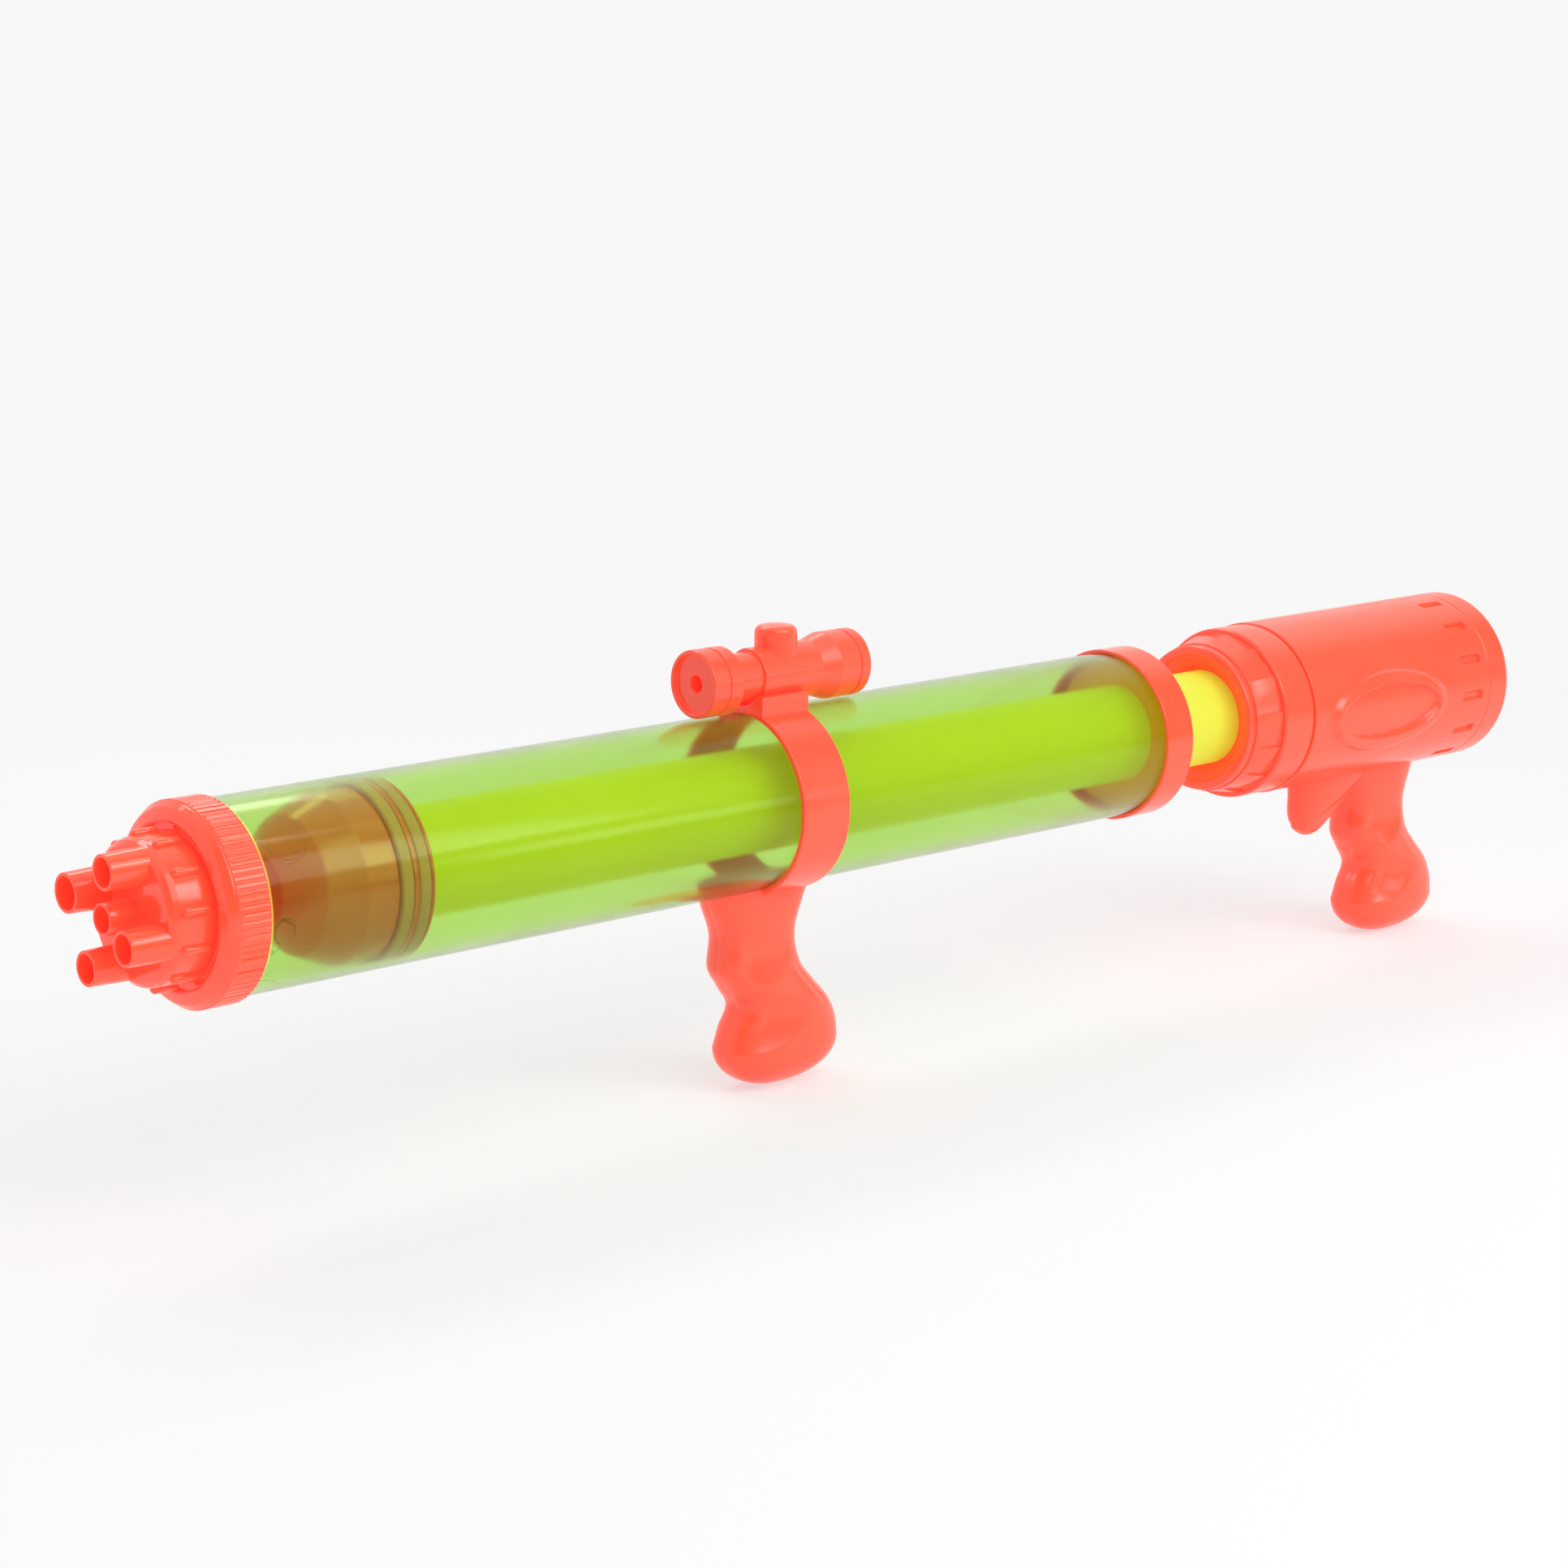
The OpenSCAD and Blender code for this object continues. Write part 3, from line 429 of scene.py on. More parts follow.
def scuff_group():
    """Fine scratches that run along one direction in patches, as a mask."""
    tree = bpy.data.node_groups.new("scuffs", "ShaderNodeTree")
    sockets(tree, "INPUT", Vector="Vector", Stretch="Vector", Scale="Float", Amount="Float")
    sockets(tree, "OUTPUT", Mask="Float")
    given = add(tree, "NodeGroupInput").outputs
    along = add(tree, "ShaderNodeVectorMath", operation="MULTIPLY")
    tree.links.new(given["Vector"], along.inputs[0])
    tree.links.new(given["Stretch"], along.inputs[1])
    lines = noise(tree, along.outputs[0], given["Scale"], Detail=5.0, Roughness=0.65)
    thin = ranged(tree, lines, 0.62, 0.72, smooth=True)
    here = ranged(tree, noise(tree, given["Vector"], 24.0), 0.45, 0.7, smooth=True)
    mask = maths(tree, "MULTIPLY", maths(tree, "MULTIPLY", thin, here), given["Amount"], clamp=True)
    tree.links.new(mask, add(tree, "NodeGroupOutput").inputs["Mask"])
    return tree


def grain_group():
    """Faint moulded skin, as a height, and the gloss that goes with it, as a roughness."""
    tree = bpy.data.node_groups.new("moulded_skin", "ShaderNodeTree")
    sockets(tree, "INPUT", Vector="Vector", Fine="Float", Smooth="Float", Dull="Float", Scuffs="Float")
    sockets(tree, "OUTPUT", Height="Float", Roughness="Float")
    given = add(tree, "NodeGroupInput").outputs
    result = add(tree, "NodeGroupOutput").inputs
    fine = noise(tree, given["Vector"], given["Fine"])
    wide = noise(tree, given["Vector"], 45.0)
    height = maths(tree, "ADD", maths(tree, "MULTIPLY", fine, 0.3), maths(tree, "MULTIPLY", wide, 0.35))
    tree.links.new(maths(tree, "SUBTRACT", height, given["Scuffs"]), result["Height"])
    gloss = ranged(tree, wide, 0.3, 0.7, given["Smooth"], given["Dull"])
    worn = maths(tree, "ADD", gloss, maths(tree, "MULTIPLY", given["Scuffs"], 0.25))
    tree.links.new(worn, result["Roughness"])
    return tree


MOTTLE, SCUFFS, SKIN = mottle_group(), scuff_group(), grain_group()


def placed(tree, group, **values):
    """Shader group in a tree, with its named inputs set; gives its outputs."""
    made = add(tree, "ShaderNodeGroup", node_tree=group)
    for name, value in values.items():
        if isinstance(value, bpy.types.NodeSocket):
            tree.links.new(value, made.inputs[name])
        else:
            made.inputs[name].default_value = value
    return made.outputs


def hairlines(tree, at, tone, deep):
    """Colour with curved hairline scratches, in patches behind the barrel's collar."""
    field = noise(tree, at, 46.0, Detail=0.5)
    off = maths(tree, "ABSOLUTE", maths(tree, "SUBTRACT", field, 0.5))
    thin = ranged(tree, off, 0.005, 0.002, smooth=True)
    here = ranged(tree, noise(tree, at, 60.0), 0.45, 0.6, smooth=True)
    front = ranged(tree, parts(tree, at)[0], 0.052, 0.066, 0.8, 0.0, smooth=True)
    share = maths(tree, "MULTIPLY", maths(tree, "MULTIPLY", thin, here), front)
    return blended(tree, share, tone, deep)


def painted_edge_glow(tree, at, low, high, color):
    """Painted glow: a thin line of emitted colour, standing in for light that the clear wall gathers at its
    edge.
    """
    x = parts(tree, at)[0]
    line = maths(tree, "MULTIPLY", ranged(tree, x, low, low + 0.0001), ranged(tree, x, high, high - 0.0003))
    return blended(tree, line, (0, 0, 0), color)


# Scales of the scuffs, and the height of the moulded skin in metres
SCUFF_SCALE, CROSS_SCALE, SKIN_HEIGHT = 420.0, 260.0, 0.0004


def plastic(name, light, deep, smooth, dull, bump, scuff, stretch, fine=900.0, patch=14.0, cross=None,
            hairs=None, edge=None, **shader):
    """Procedural finish: mottled colour, skin and scuffs on one Principled shader.

    Smooth and dull are the least and most roughness. Cross adds scuffs in a second direction. Hairs are
    hairline scratches of a colour. Edge is a painted glowing line, its emitted colour standing in for light
    that a clear wall gathers: its start and end along X, and its colour."""
    made = bpy.data.materials.new(name)
    made.use_nodes = True
    tree = made.node_tree
    surface = tree.nodes["Principled BSDF"]
    at = add(tree, "ShaderNodeTexCoord").outputs["Object"]
    marks = placed(tree, SCUFFS, Vector=at, Stretch=stretch, Scale=SCUFF_SCALE, Amount=scuff)["Mask"]
    if cross:
        across = placed(tree, SCUFFS, Vector=at, Stretch=cross, Scale=CROSS_SCALE, Amount=scuff)["Mask"]
        marks = maths(tree, "MAXIMUM", marks, across)
    tone = placed(tree, MOTTLE, Vector=at, Light=(*light, 1), Deep=(*deep, 1), Scale=patch)["Color"]
    if hairs:
        tone = hairlines(tree, at, tone, hairs)
    # A painted glowing line: emitted colour between two places along X
    if edge:
        tree.links.new(painted_edge_glow(tree, at, *edge), surface.inputs["Emission Color"])
        surface.inputs["Emission Strength"].default_value = 1.0
    skin = placed(tree, SKIN, Vector=at, Fine=fine, Smooth=smooth, Dull=dull, Scuffs=marks)
    tree.links.new(tone, surface.inputs["Base Color"])
    tree.links.new(skin["Roughness"], surface.inputs["Roughness"])
    relief = add(tree, "ShaderNodeBump")
    relief.inputs["Strength"].default_value = bump
    relief.inputs["Distance"].default_value = SKIN_HEIGHT
    tree.links.new(skin["Height"], relief.inputs["Height"])
    tree.links.new(relief.outputs[0], surface.inputs["Normal"])
    for socket, value in shader.items():
        surface.inputs[socket.replace("_", " ")].default_value = value
    return made


# Directions of scuffs: along the barrel, round it, and loosely along it
ALONG, ROUND, LOOSE = (0.04, 1.0, 1.0), (1.0, 0.05, 0.05), (0.3, 1.0, 1.0)

# Both red finishes give off a painted red glow through their emission, which lifts their shaded sides
RED = plastic("red_plastic", (0.95, 0.1, 0.042), (0.92, 0.088, 0.036), 0.07, 0.14, 0.03, 0.2, LOOSE,
              Specular_IOR_Level=0.6, Emission_Color=(1.0, 0.06, 0.036, 1), Emission_Strength=0.3)
SATIN = plastic("satin_red_plastic", (0.95, 0.1, 0.044), (0.92, 0.088, 0.038), 0.2, 0.28, 0.03, 0.2, LOOSE,
                Specular_IOR_Level=0.6, Emission_Color=(1.0, 0.05, 0.03, 1), Emission_Strength=0.3)
# The bush's red is shifted to orange and given a painted glow: painted light in place of the light it gets
# inside the green tube
WARM = plastic("warm_red_plastic", (0.94, 0.37, 0.04), (0.9, 0.34, 0.035), 0.3, 0.4, 0.05, 0.2, ROUND,
               Emission_Color=(1.0, 0.42, 0.0, 1), Emission_Strength=0.2)
CORAL = plastic("coral_plastic", (1.0, 0.25, 0.15), (0.96, 0.2, 0.12), 0.16, 0.24, 0.06, 0.25, ROUND,
                Specular_IOR_Level=0.8)
# The yellow finish gives off a painted glow through its emission, which evens out the rod's shading
YELLOW = plastic("yellow_plastic", (0.53, 0.57, 0.06), (0.5, 0.54, 0.05), 0.34, 0.44, 0.06, 0.4, ALONG,
                 Specular_IOR_Level=0.25, Emission_Color=(0.92, 1.0, 0.04, 1), Emission_Strength=0.27)
# The clear wall carries a painted glowing line near its front end, in place of light the wall gathers
GREEN = plastic("clear_green_plastic", (0.7, 0.9, 0.39), (0.68, 0.885, 0.37), 0.1, 0.14, 0.05, 0.6, ALONG,
                patch=6.0, cross=ROUND, hairs=(0.24, 0.42, 0.06), edge=(0.0379, 0.0389, (0.55, 0.45, 0.05)),
                Transmission_Weight=1.0, IOR=1.35, Specular_Tint=(0.4, 0.4, 0.4, 1))
TAN = plastic("pale_rubber", (0.9, 0.44, 0.34), (0.84, 0.4, 0.3), 0.45, 0.6, 0.12, 0.3, ROUND)
BLACK = plastic("black_rubber", (0.03, 0.03, 0.03), (0.02, 0.02, 0.02), 0.55, 0.7, 0.15, 0.3, ROUND)
STEEL = plastic("steel", (0.62, 0.62, 0.64), (0.5, 0.5, 0.53), 0.25, 0.42, 0.08, 0.8, ALONG, Metallic=1.0)

RING, KNURL = ring_tree(), knurl_tree()


# Barrel, collar, head and caps

def barrel():
    outline = rounded([(X_TUBE, BORE_R, 0.3), (X_TUBE_END, BORE_R, 0.3), (X_TUBE_END, BARREL_R, 0.3),
                       (X_TUBE, BARREL_R, 0.3)])
    tube = solid("clear_barrel", turned(outline, 256))
    dressed(tube, "barrel", "clear_green_plastic", GREEN, "barrel_tube")


def collar():
    teeth, steps = 84, 10
    x0, x1, mouth, outer, smooth, knurl = 23.0, 37.5, 25.2, 31.4, 30.95, 10.8
    corners = [(x0 + 0.2, mouth, 0.3), (x0, mouth + 0.9, 0.5), (x0 + 1.1, smooth - 1.6, 1.8),
               (x0 + 3.0, smooth, 0.9), (x1 - knurl - 0.2, smooth, 0.1), (x1 - knurl, outer, 0.2)]
    band = [(x1 - knurl + (knurl - 0.5) * k / 12, outer, 0) for k in range(1, 12)]
    corners += band + [(x1, outer, 0.4), (x1, BARREL_R + FIT, 0.2), (X_FLANGE, BARREL_R + FIT, 0.1),
                       (X_FLANGE, mouth, 0.2)]
    ring = solid("knurled_collar", turned(rounded(corners), teeth * steps))
    grown(ring, KNURL, Teeth=teeth, Depth=0.62 * MM, From=(x1 - knurl - 0.1) * MM, To=(x1 + 0.2) * MM,
          Fade=0.7 * MM, Above=30.4 * MM, Shallow=0.35, Finish=RED)
    dressed(ring, "barrel", "red_plastic", RED, "nozzle_collar", sharp=50)


def nozzle_cup(mouth, r, bore, y=0.0, z=0.0):
    """Tapered jet with its socket, from its mouth into the head's face."""
    floor, root, draft = mouth + 10.0, 11.8, 0.5
    outline = rounded([(mouth, bore, 0.25), (mouth, r, 0.3), (root, r + draft, 0), (root, 0, 0),
                       (floor, 0, 0), (floor, bore, 0.4)])
    return turned(outline, 64, on_x, (0, y, z))


def head():
    face_r, drum_r, bore, flange = 22.4, 22.6, 20.6, 29.9
    shell = [(X_FACE, 0, 0), (9.21, 12.12, 2.0), (9.6, 20.2, 1.2), (10.95, 21.7, 1.0), (12.7, face_r, 0.7),
             (24.8, drum_r, 0.1), (X_FLANGE, drum_r + 0.2, 0.1), (X_FLANGE, flange, 0.3),
             (X_GASKET, flange, 0.3), (X_GASKET, bore, 0.3), (13.9, bore, 0.5),
             (X_HEAD_INNER, bore - 1.5, 0.5), (X_HEAD_INNER, 0, 0)]
    body = solid("nozzle_cluster", turned(rounded(shell), 160))
    half, top, low = 1.4, drum_r + 1.6, drum_r - 0.6
    bends = [math.pi * k / 16 for k in range(17)]
    arch = [(-half * math.cos(a), top - half + half * math.sin(a)) for a in bends]
    arch = [(-half, low)] + arch + [(half, low)]
    first, last = 13.0, 22.3
    ends = [(0.0, 0.3), (0.12, 0.55), (0.4, 0.8), (0.8, 0.95), (1.3, 1.0)]
    ends = [(first + run, k) for run, k in ends] + [(last - run, k) for run, k in reversed(ends)]
    rib = solid("bar_rib", lofted([[(x, y * k, low + (z - low) * k) for y, z in arch] for x, k in ends]))
    ribs = grown(rib, RING, Count=12, Phase=0.67, Finish=RED)
    pitch, turn, lead = 16.2, math.radians(20), 2.6
    around = [turn + QUARTER * k for k in range(4)]
    corners = [(pitch * math.cos(a), pitch * math.sin(a)) for a in around]
    cups = [solid("middle_jet", nozzle_cup(0.0, 4.9, 4.0))]
    for k, (y, z) in enumerate(corners):
        r = 6.1 if k == 0 else 5.4
        cups.append(solid("corner_jet", nozzle_cup(-lead, r, r - 1.0, y, z)))
    combined(body, "UNION", ribs, *cups)
    holes = [solid("water_hole", bar(6.0, 14.0, 1.2, 24, on_x, (0, y, z))) for y, z in [(0, 0)] + corners]
    combined(body, "DIFFERENCE", *holes)
    dressed(body, "barrel", "red_plastic", RED, "nozzle_head")


def rear_cap():
    hole, outer, x0 = ROD_R + 0.5, BARREL_R + 1.3, X_TUBE_END - 11.0
    outline = rounded([(x0, BARREL_R + FIT, 0.1), (X_TUBE_END, BARREL_R + FIT, 0), (X_TUBE_END, hole, 0.2),
                       (X_CAP_END, hole, 0.4), (X_CAP_END, outer, 1.1), (x0, outer, 0.5)], 6)
    dressed(solid("tube_end_cap", turned(outline, 192)), "barrel", "red_plastic", RED, "rear_end_cap")


def thin_groove(x, r):
    """Corners of a fine groove round a turned piece."""
    return [(x, r, 0.15), (x + 0.35, r - 0.55, 0.15), (x + 0.85, r - 0.55, 0.15), (x + 1.2, r, 0.15)]


def sight():
    bell, neck, scope, peep, lip, sink = 11.4, 8.2, 9.4, 2.9, 1.5, 1.6
    x0, x1 = X_SIGHT, X_SIGHT_END
    rear, cone = x1 - 13.4, 6.6
    outline = rounded([
        (x0 + sink, peep, 0.3), (x0 + sink, bell - lip - 0.3, 0.3), (x0, bell - lip, 0.4), (x0, bell, 0.8),
        *thin_groove(x0 + 6.4, bell),
        (x0 + 12.8, bell, 1.0), (x0 + 15.2, neck, 0.5), (X_STEP, neck, 0.3), (X_STEP, scope, 0.5),
        (rear - cone, scope, 1.2), (rear, bell, 1.2),
        *thin_groove(x1 - 5.2, bell),
        (x1, bell, 0.8), (x1, bell - lip, 0.4), (x1 - sink, bell - lip - 0.3, 0.3), (x1 - sink, peep, 0.3)])
    body = solid("toy_sight", turned(outline, 128, on_x, (0, 0, SIGHT_Z)))
    base, top, r = SIGHT_Z + 5.0, SIGHT_Z + 16.3, 7.2
    knob = rounded([(base, 0, 0), (base, r + 0.15, 0), (top - 0.5, r - 0.1, 2.4), (top, 2.0, 0.8),
                    (top, 0, 0)], 8)
    combined(body, "UNION", solid("knob", turned(knob, 64, on_z, (X_KNOB, 0, 0))))
    dressed(body, "barrel", "red_plastic", SATIN, "sight_body")


# Plunger

def plunger():
    rod = rounded([(X_ROD, ROD_BORE_R, 0.2), (X_ROD_END, ROD_BORE_R, 0.2), (X_ROD_END, ROD_R, 0.3),
                   (X_ROD, ROD_R, 0.3)])
    dressed(solid("yellow_rod", turned(rod, 160)), "plunger", "yellow_plastic", YELLOW, "plunger_rod")
    land, skirt, groove, wide = 27.8, 26.6, 24.7, 4.6
    shape = [(X_PISTON, 0, 0), (X_PISTON, 10.8, 1.5), (X_PISTON + 9.0, 21.7, 3.0),
             (X_PISTON + 20.0, skirt, 3.0)]
    for x, edge in ((X_SEALS[0] - 0.1, skirt), (X_SEALS[1] - 0.1, land)):
        shape += [(x, edge, 0.3), (x, groove, 0.2), (x + wide, groove, 0.2), (x + wide, land, 0.3)]
    shape += [(X_PISTON_END, land, 0.4), (X_PISTON_END, ROD_R + FIT, 0.2), (X_ROD, ROD_R + FIT, 0.2),
              (X_ROD, 15.0, 0.2), (X_PISTON + 12.0, 10.0, 0.5), (X_PISTON + 12.0, 0, 0)]
    dressed(solid("piston", turned(rounded(shape), 160)), "plunger", "red_plastic", CORAL, "piston_body")
    inner, outer, seal = 24.75, 28.15, 4.4
    for name, x in zip(("front", "rear"), X_SEALS):
        ring = rounded([(x, inner, 0.3), (x + seal, inner, 0.3), (x + seal, outer, 0.9), (x, outer, 0.9)])
        ring = solid(name + "_seal", turned(ring, 160))
        dressed(ring, "seals", "pale_rubber", TAN, "piston_seal_" + name)


def handle_front():
    ring_x, face_x, rim_r, tooth_r, back_r, flange = 475.4, 487.0, 27.3, 27.9, 29.8, 32.1
    bore = ROD_R + FIT
    outline = rounded([
        (X_NOSE + 4.6, bore, 0.3), (X_NOSE + 1.4, rim_r - 3.8, 0.8),
        (X_NOSE, rim_r - 3.0, 0.8), (X_NOSE, rim_r, 1.5),
        (X_NOSE + 2.3, rim_r, 0.15), (X_NOSE + 2.5, rim_r - 0.4, 0.12), (X_NOSE + 2.9, rim_r - 0.4, 0.12),
        (X_NOSE + 3.1, rim_r, 0.12), (ring_x, rim_r, 0.1), (ring_x, tooth_r, 0.25), (face_x, back_r, 0.5),
        (face_x, flange, 1.2),
        (X_BODY - 1.0, flange, 0.2), (X_BODY - 1.0, flange - 0.7, 0.15), (X_BODY, flange - 0.7, 0.1),
        (X_BODY, SHELL_R - FIT, 0.1), (X_BODY + 6.0, SHELL_R - FIT, 0.4),
        (X_BODY + 6.0, SHELL_R - 2.0, 0.3), (X_BODY, SHELL_R - 2.0, 0.3),
        (face_x, back_r - 3.2, 0.5), (X_NOSE + 8.0, back_r - 3.2, 0.5), (X_NOSE + 8.0, bore, 0.4)])
    nose = solid("handle_front", turned(outline, 192))
    slope = (back_r - tooth_r) / (face_x - ring_x)
    rings = []
    for x, rise in ((ring_x + 1.2, 0.0), (ring_x + 4.0, 0.6), (ring_x + 7.5, 0.95), (face_x + 0.6, 0.95)):
        r = tooth_r + slope * (x - ring_x)
        top = [(y, rise * (y + 7) / 9 - 0.04 - y * y / (2 * r)) for y in (-7, -5, -3, -1, 1, 2)]
        rings.append([(x, y, r + z) for y, z in [(2.2, -1.5), (-7, -1.5)] + top])
    teeth = grown(solid("ramp_tooth", lofted(rings)), RING, Count=14, Phase=0.3, Finish=RED)
    combined(nose, "UNION", teeth)
    dressed(nose, "plunger", "red_plastic", SATIN, "handle_nose")


def handle_back():
    spigot, bore, wall = X_END - 6.0, SHELL_R - 2.05, 2.4
    outline = rounded([(spigot, bore, 0.3), (spigot, SHELL_R - FIT, 0.4), (X_END, SHELL_R - FIT, 0.1),
                       (X_END, HANDLE_R - 0.4, 0.1), (X_END + 0.6, HANDLE_R, 0.3), (X_BACK, HANDLE_R, 2.6),
                       (X_BACK, 0, 0), (X_BACK - wall, 0, 0), (X_BACK - wall, bore, 0.5)], 8)
    dressed(solid("handle_back", turned(outline, 192)), "plunger", "red_plastic", SATIN, "handle_end_cap")


# Grips, trigger nib and handle body

def eased(keys, at):
    """Smooth value of (place, value) keys."""
    last = len(keys) - 1
    i = 0
    while i < last - 1 and at > keys[i + 1][0]:
        i += 1

    def slope(k):
        a, b = max(k - 1, 0), min(k + 1, last)
        return (keys[b][1] - keys[a][1]) / (keys[b][0] - keys[a][0])

    h = keys[i + 1][0] - keys[i][0]
    t = (at - keys[i][0]) / h
    return ((2 * t ** 3 - 3 * t * t + 1) * keys[i][1] + (t ** 3 - 2 * t * t + t) * slope(i) * h
            + (3 * t * t - 2 * t ** 3) * keys[i + 1][1] + (t ** 3 - t * t) * slope(i + 1) * h)


# Keys of (depth below the seat, place or half width)
GRIP_FRONT = [(-5, -27.8), (2.7, -24.7), (13.5, -20.4), (24.8, -21.2), (31.9, -16.95), (39, -12.7),
              (46, -16.4), (53, -19.1)]
GRIP_REAR = [(-5, 18.5), (2.7, 14.1), (13.5, 9.5), (24.8, 11.9), (31.9, 17.7), (39, 24.2),
             (46, 28.1), (53, 29.1)]
GRIP_HALF = [(-5, 10.9), (13.5, 11.5), (33.25, 12.5), (53, 13.5)]
NIB_FRONT = [(-5, -1.5), (0, -0.6), (5, 0), (13, 0.3), (19, 2.2)]
NIB_REAR = [(-5, 50), (0, 44.5), (5, 37.5), (13, 23), (19, 13)]
NIB_HALF = [(-5, 9.4), (0, 9.0), (5, 8.2), (13, 7.2), (19, 5.6)]

# Depths, scoops and the shape of the sections
TOP, HEEL, SOLE = -5, 53.0, 66.8
SOLE_TURN, SOLE_POWER, SOLE_SHIFT = math.radians(88), 0.92, 3.2
NIB_LOW, NIB_DROP, NIB_R, NIB_TROUGH = 19.0, 22.0, 7.2, 1.2
SCOOPS, SCOOP_DEPTH, SCOOP_REACH, SCOOP_HALF = (19.5, 43.0), 2.0, 23.0, 10.0
SECTION_POWER, SEAM = 0.78, 0.18

# Counts of steps round a half section and of sections along a form
RING_STEPS, GRIP_STEPS, SOLE_STEPS, NIB_STEPS, TIP_STEPS = 48, 96, 18, 40, 12


def half_ring(front, rear, wide, level, shrink, middle, dent):
    """Half section from the front parting line round the +Y side to the rear one, with a seam at both.

    The dent tells how deep the side is hollowed at a run from the front edge and from the rear one."""
    half, centre = (rear - front) / 2, (rear + front) / 2 * shrink + middle * (1 - shrink)
    ring = []
    for i in range(RING_STEPS + 1):
        a = math.pi * i / RING_STEPS
        ca, sa = math.cos(a), abs(math.sin(a))
        reach = math.copysign(half * abs(ca) ** SECTION_POWER, ca)
        y = wide * sa ** SECTION_POWER - dent(half - reach, half + reach) * min(1.0, 2 * sa)
        if i in (0, RING_STEPS):
            y, reach = 0.0, reach - math.copysign(min(SEAM, 0.2 * half), ca)
        ring.append((centre - reach * shrink, y * shrink, level))
    return ring


def grip_half(x, seat):
    """Half of a pistol grip that hangs from a seat, with two finger scoops in its side."""
    rings = []

    def scoops(d):
        def dent(run, left):
            side = min(1.0, max(0.0, run - 2.5) / 5) * SCOOP_DEPTH
            fade = 1 - (run / SCOOP_REACH) ** 3
            return side * sum(max(0.0, fade - ((d - at) / SCOOP_HALF) ** 2) for at in SCOOPS)
        return dent

    for i in range(GRIP_STEPS + 1):
        d = TOP + (HEEL - TOP) * i / GRIP_STEPS
        rings.append(half_ring(eased(GRIP_FRONT, d), eased(GRIP_REAR, d), eased(GRIP_HALF, d),
                               seat - d, 1, 0, scoops(d)))
    for i in range(1, SOLE_STEPS + 1):
        a = SOLE_TURN * i / SOLE_STEPS
        rings.append(half_ring(GRIP_FRONT[-1][1], GRIP_REAR[-1][1], GRIP_HALF[-1][1],
                               seat - HEEL - (SOLE - HEEL) * math.sin(a), math.cos(a) ** SOLE_POWER,
                               SOLE_SHIFT * (1 - math.cos(a)), scoops(HEEL)))
    return lofted([[(x + px, y, z) for px, y, z in ring] for ring in rings])


def nib_half():
    """Half of the trigger nib, with a trough along its swept rear."""
    rings = []

    def trough(d):
        fade = max(0.0, 1 - (d * 2 / NIB_DROP - 1) ** 2)
        return lambda run, left: NIB_TROUGH * fade * max(0.0, 1 - ((left - NIB_R - 1) / NIB_R) ** 2)

    for i in range(NIB_STEPS + 1):
        d = TOP + (NIB_LOW - TOP) * i / NIB_STEPS
        rings.append(half_ring(eased(NIB_FRONT, d), eased(NIB_REAR, d), eased(NIB_HALF, d),
                               -HANDLE_R - d, 1, 0, trough(d)))
    middle = (NIB_FRONT[-1][1] + NIB_REAR[-1][1]) / 2
    for i in range(1, TIP_STEPS + 1):
        share = 1 - 0.96 * i / TIP_STEPS
        rings.append(half_ring(NIB_FRONT[-1][1], NIB_REAR[-1][1], NIB_HALF[-1][1],
                               -HANDLE_R - NIB_DROP + (NIB_DROP - NIB_LOW) * share ** 2, share, middle,
                               trough(NIB_LOW)))
    return lofted([[(X_NIB + px, y, z) for px, y, z in ring] for ring in rings])


def ramp(value, low, high):
    """Smooth step from 0 at low to 1 at high."""
    t = max(0.0, min(1.0, (value - low) / (high - low)))
    return t * t * (3 - 2 * t)


# Relief of the handle's round body: the oval, the dashes, and a crease as keys of (place, degrees)
OVAL_X, OVAL_Z, OVAL_HALF, OVAL_TALL, OVAL_BORDER = 547.7, -2.0, 35.0, 15.5, 5.6
OVAL_RISE, OVAL_SINK = 1.5, 2.2
DASH_X0, DASH_X1, DASH_HALF, DASH_DEPTH = 593.5, 605.5, 1.5, 1.3
DASHES = [math.radians(72 - 25.4 * k) for k in range(6)]
CREASE, ROOT = [(503.5, -44.0), (542.0, -51.0), (584.0, -61.5), (610.0, -72.0)], math.radians(-72.5)
PARTING_DEPTH, RIM_DROP, RIM_RUN = 0.22, 0.3, 0.5


def body_relief(x, a):
    """Height of the handle body's skin over its plain cylinder at a place and an angle up from +Y."""
    height = 0.0
    u, v = x - OVAL_X, HANDLE_R * math.sin(a) - OVAL_Z
    if abs(u) < OVAL_HALF + 5 and abs(v) < OVAL_TALL + 5 and math.cos(a) > 0:
        outer = (math.hypot(u / OVAL_HALF, v / OVAL_TALL) - 1) * OVAL_TALL
        half, tall = OVAL_HALF - OVAL_BORDER, OVAL_TALL - OVAL_BORDER
        inner = (math.hypot(u / half, v / tall) - 1) * tall
        height += OVAL_RISE * ramp(-outer, -0.3, 1.8) - OVAL_SINK * ramp(-inner, -0.3, 0.5)
    if DASH_X0 - 1 < x < DASH_X1 + 1:
        for middle in DASHES:
            off = abs(a - middle) * HANDLE_R
            if off < DASH_HALF + 1:
                ends = min(x - DASH_X0, DASH_X1 - x)
                height -= DASH_DEPTH * ramp(min(DASH_HALF - off, ends), -0.2, 0.35)
    crease = math.radians(eased(CREASE, x))
    if ROOT < a < crease:
        half = (crease - ROOT) / 2
        flat = HANDLE_R * (1 - math.cos(half) / math.cos(a - ROOT - half))
        height -= flat * ramp(x, X_BODY + 0.6, X_BODY + 10)
    height -= PARTING_DEPTH * (1 - ramp((QUARTER - abs(a)) * HANDLE_R, 0.0, 0.45))
    rim = min(x - X_BODY, X_END - x)
    height -= RIM_DROP * (1 - math.sqrt(max(0.0, 1 - (1 - min(rim / RIM_RUN, 1.0)) ** 2)))
    return height


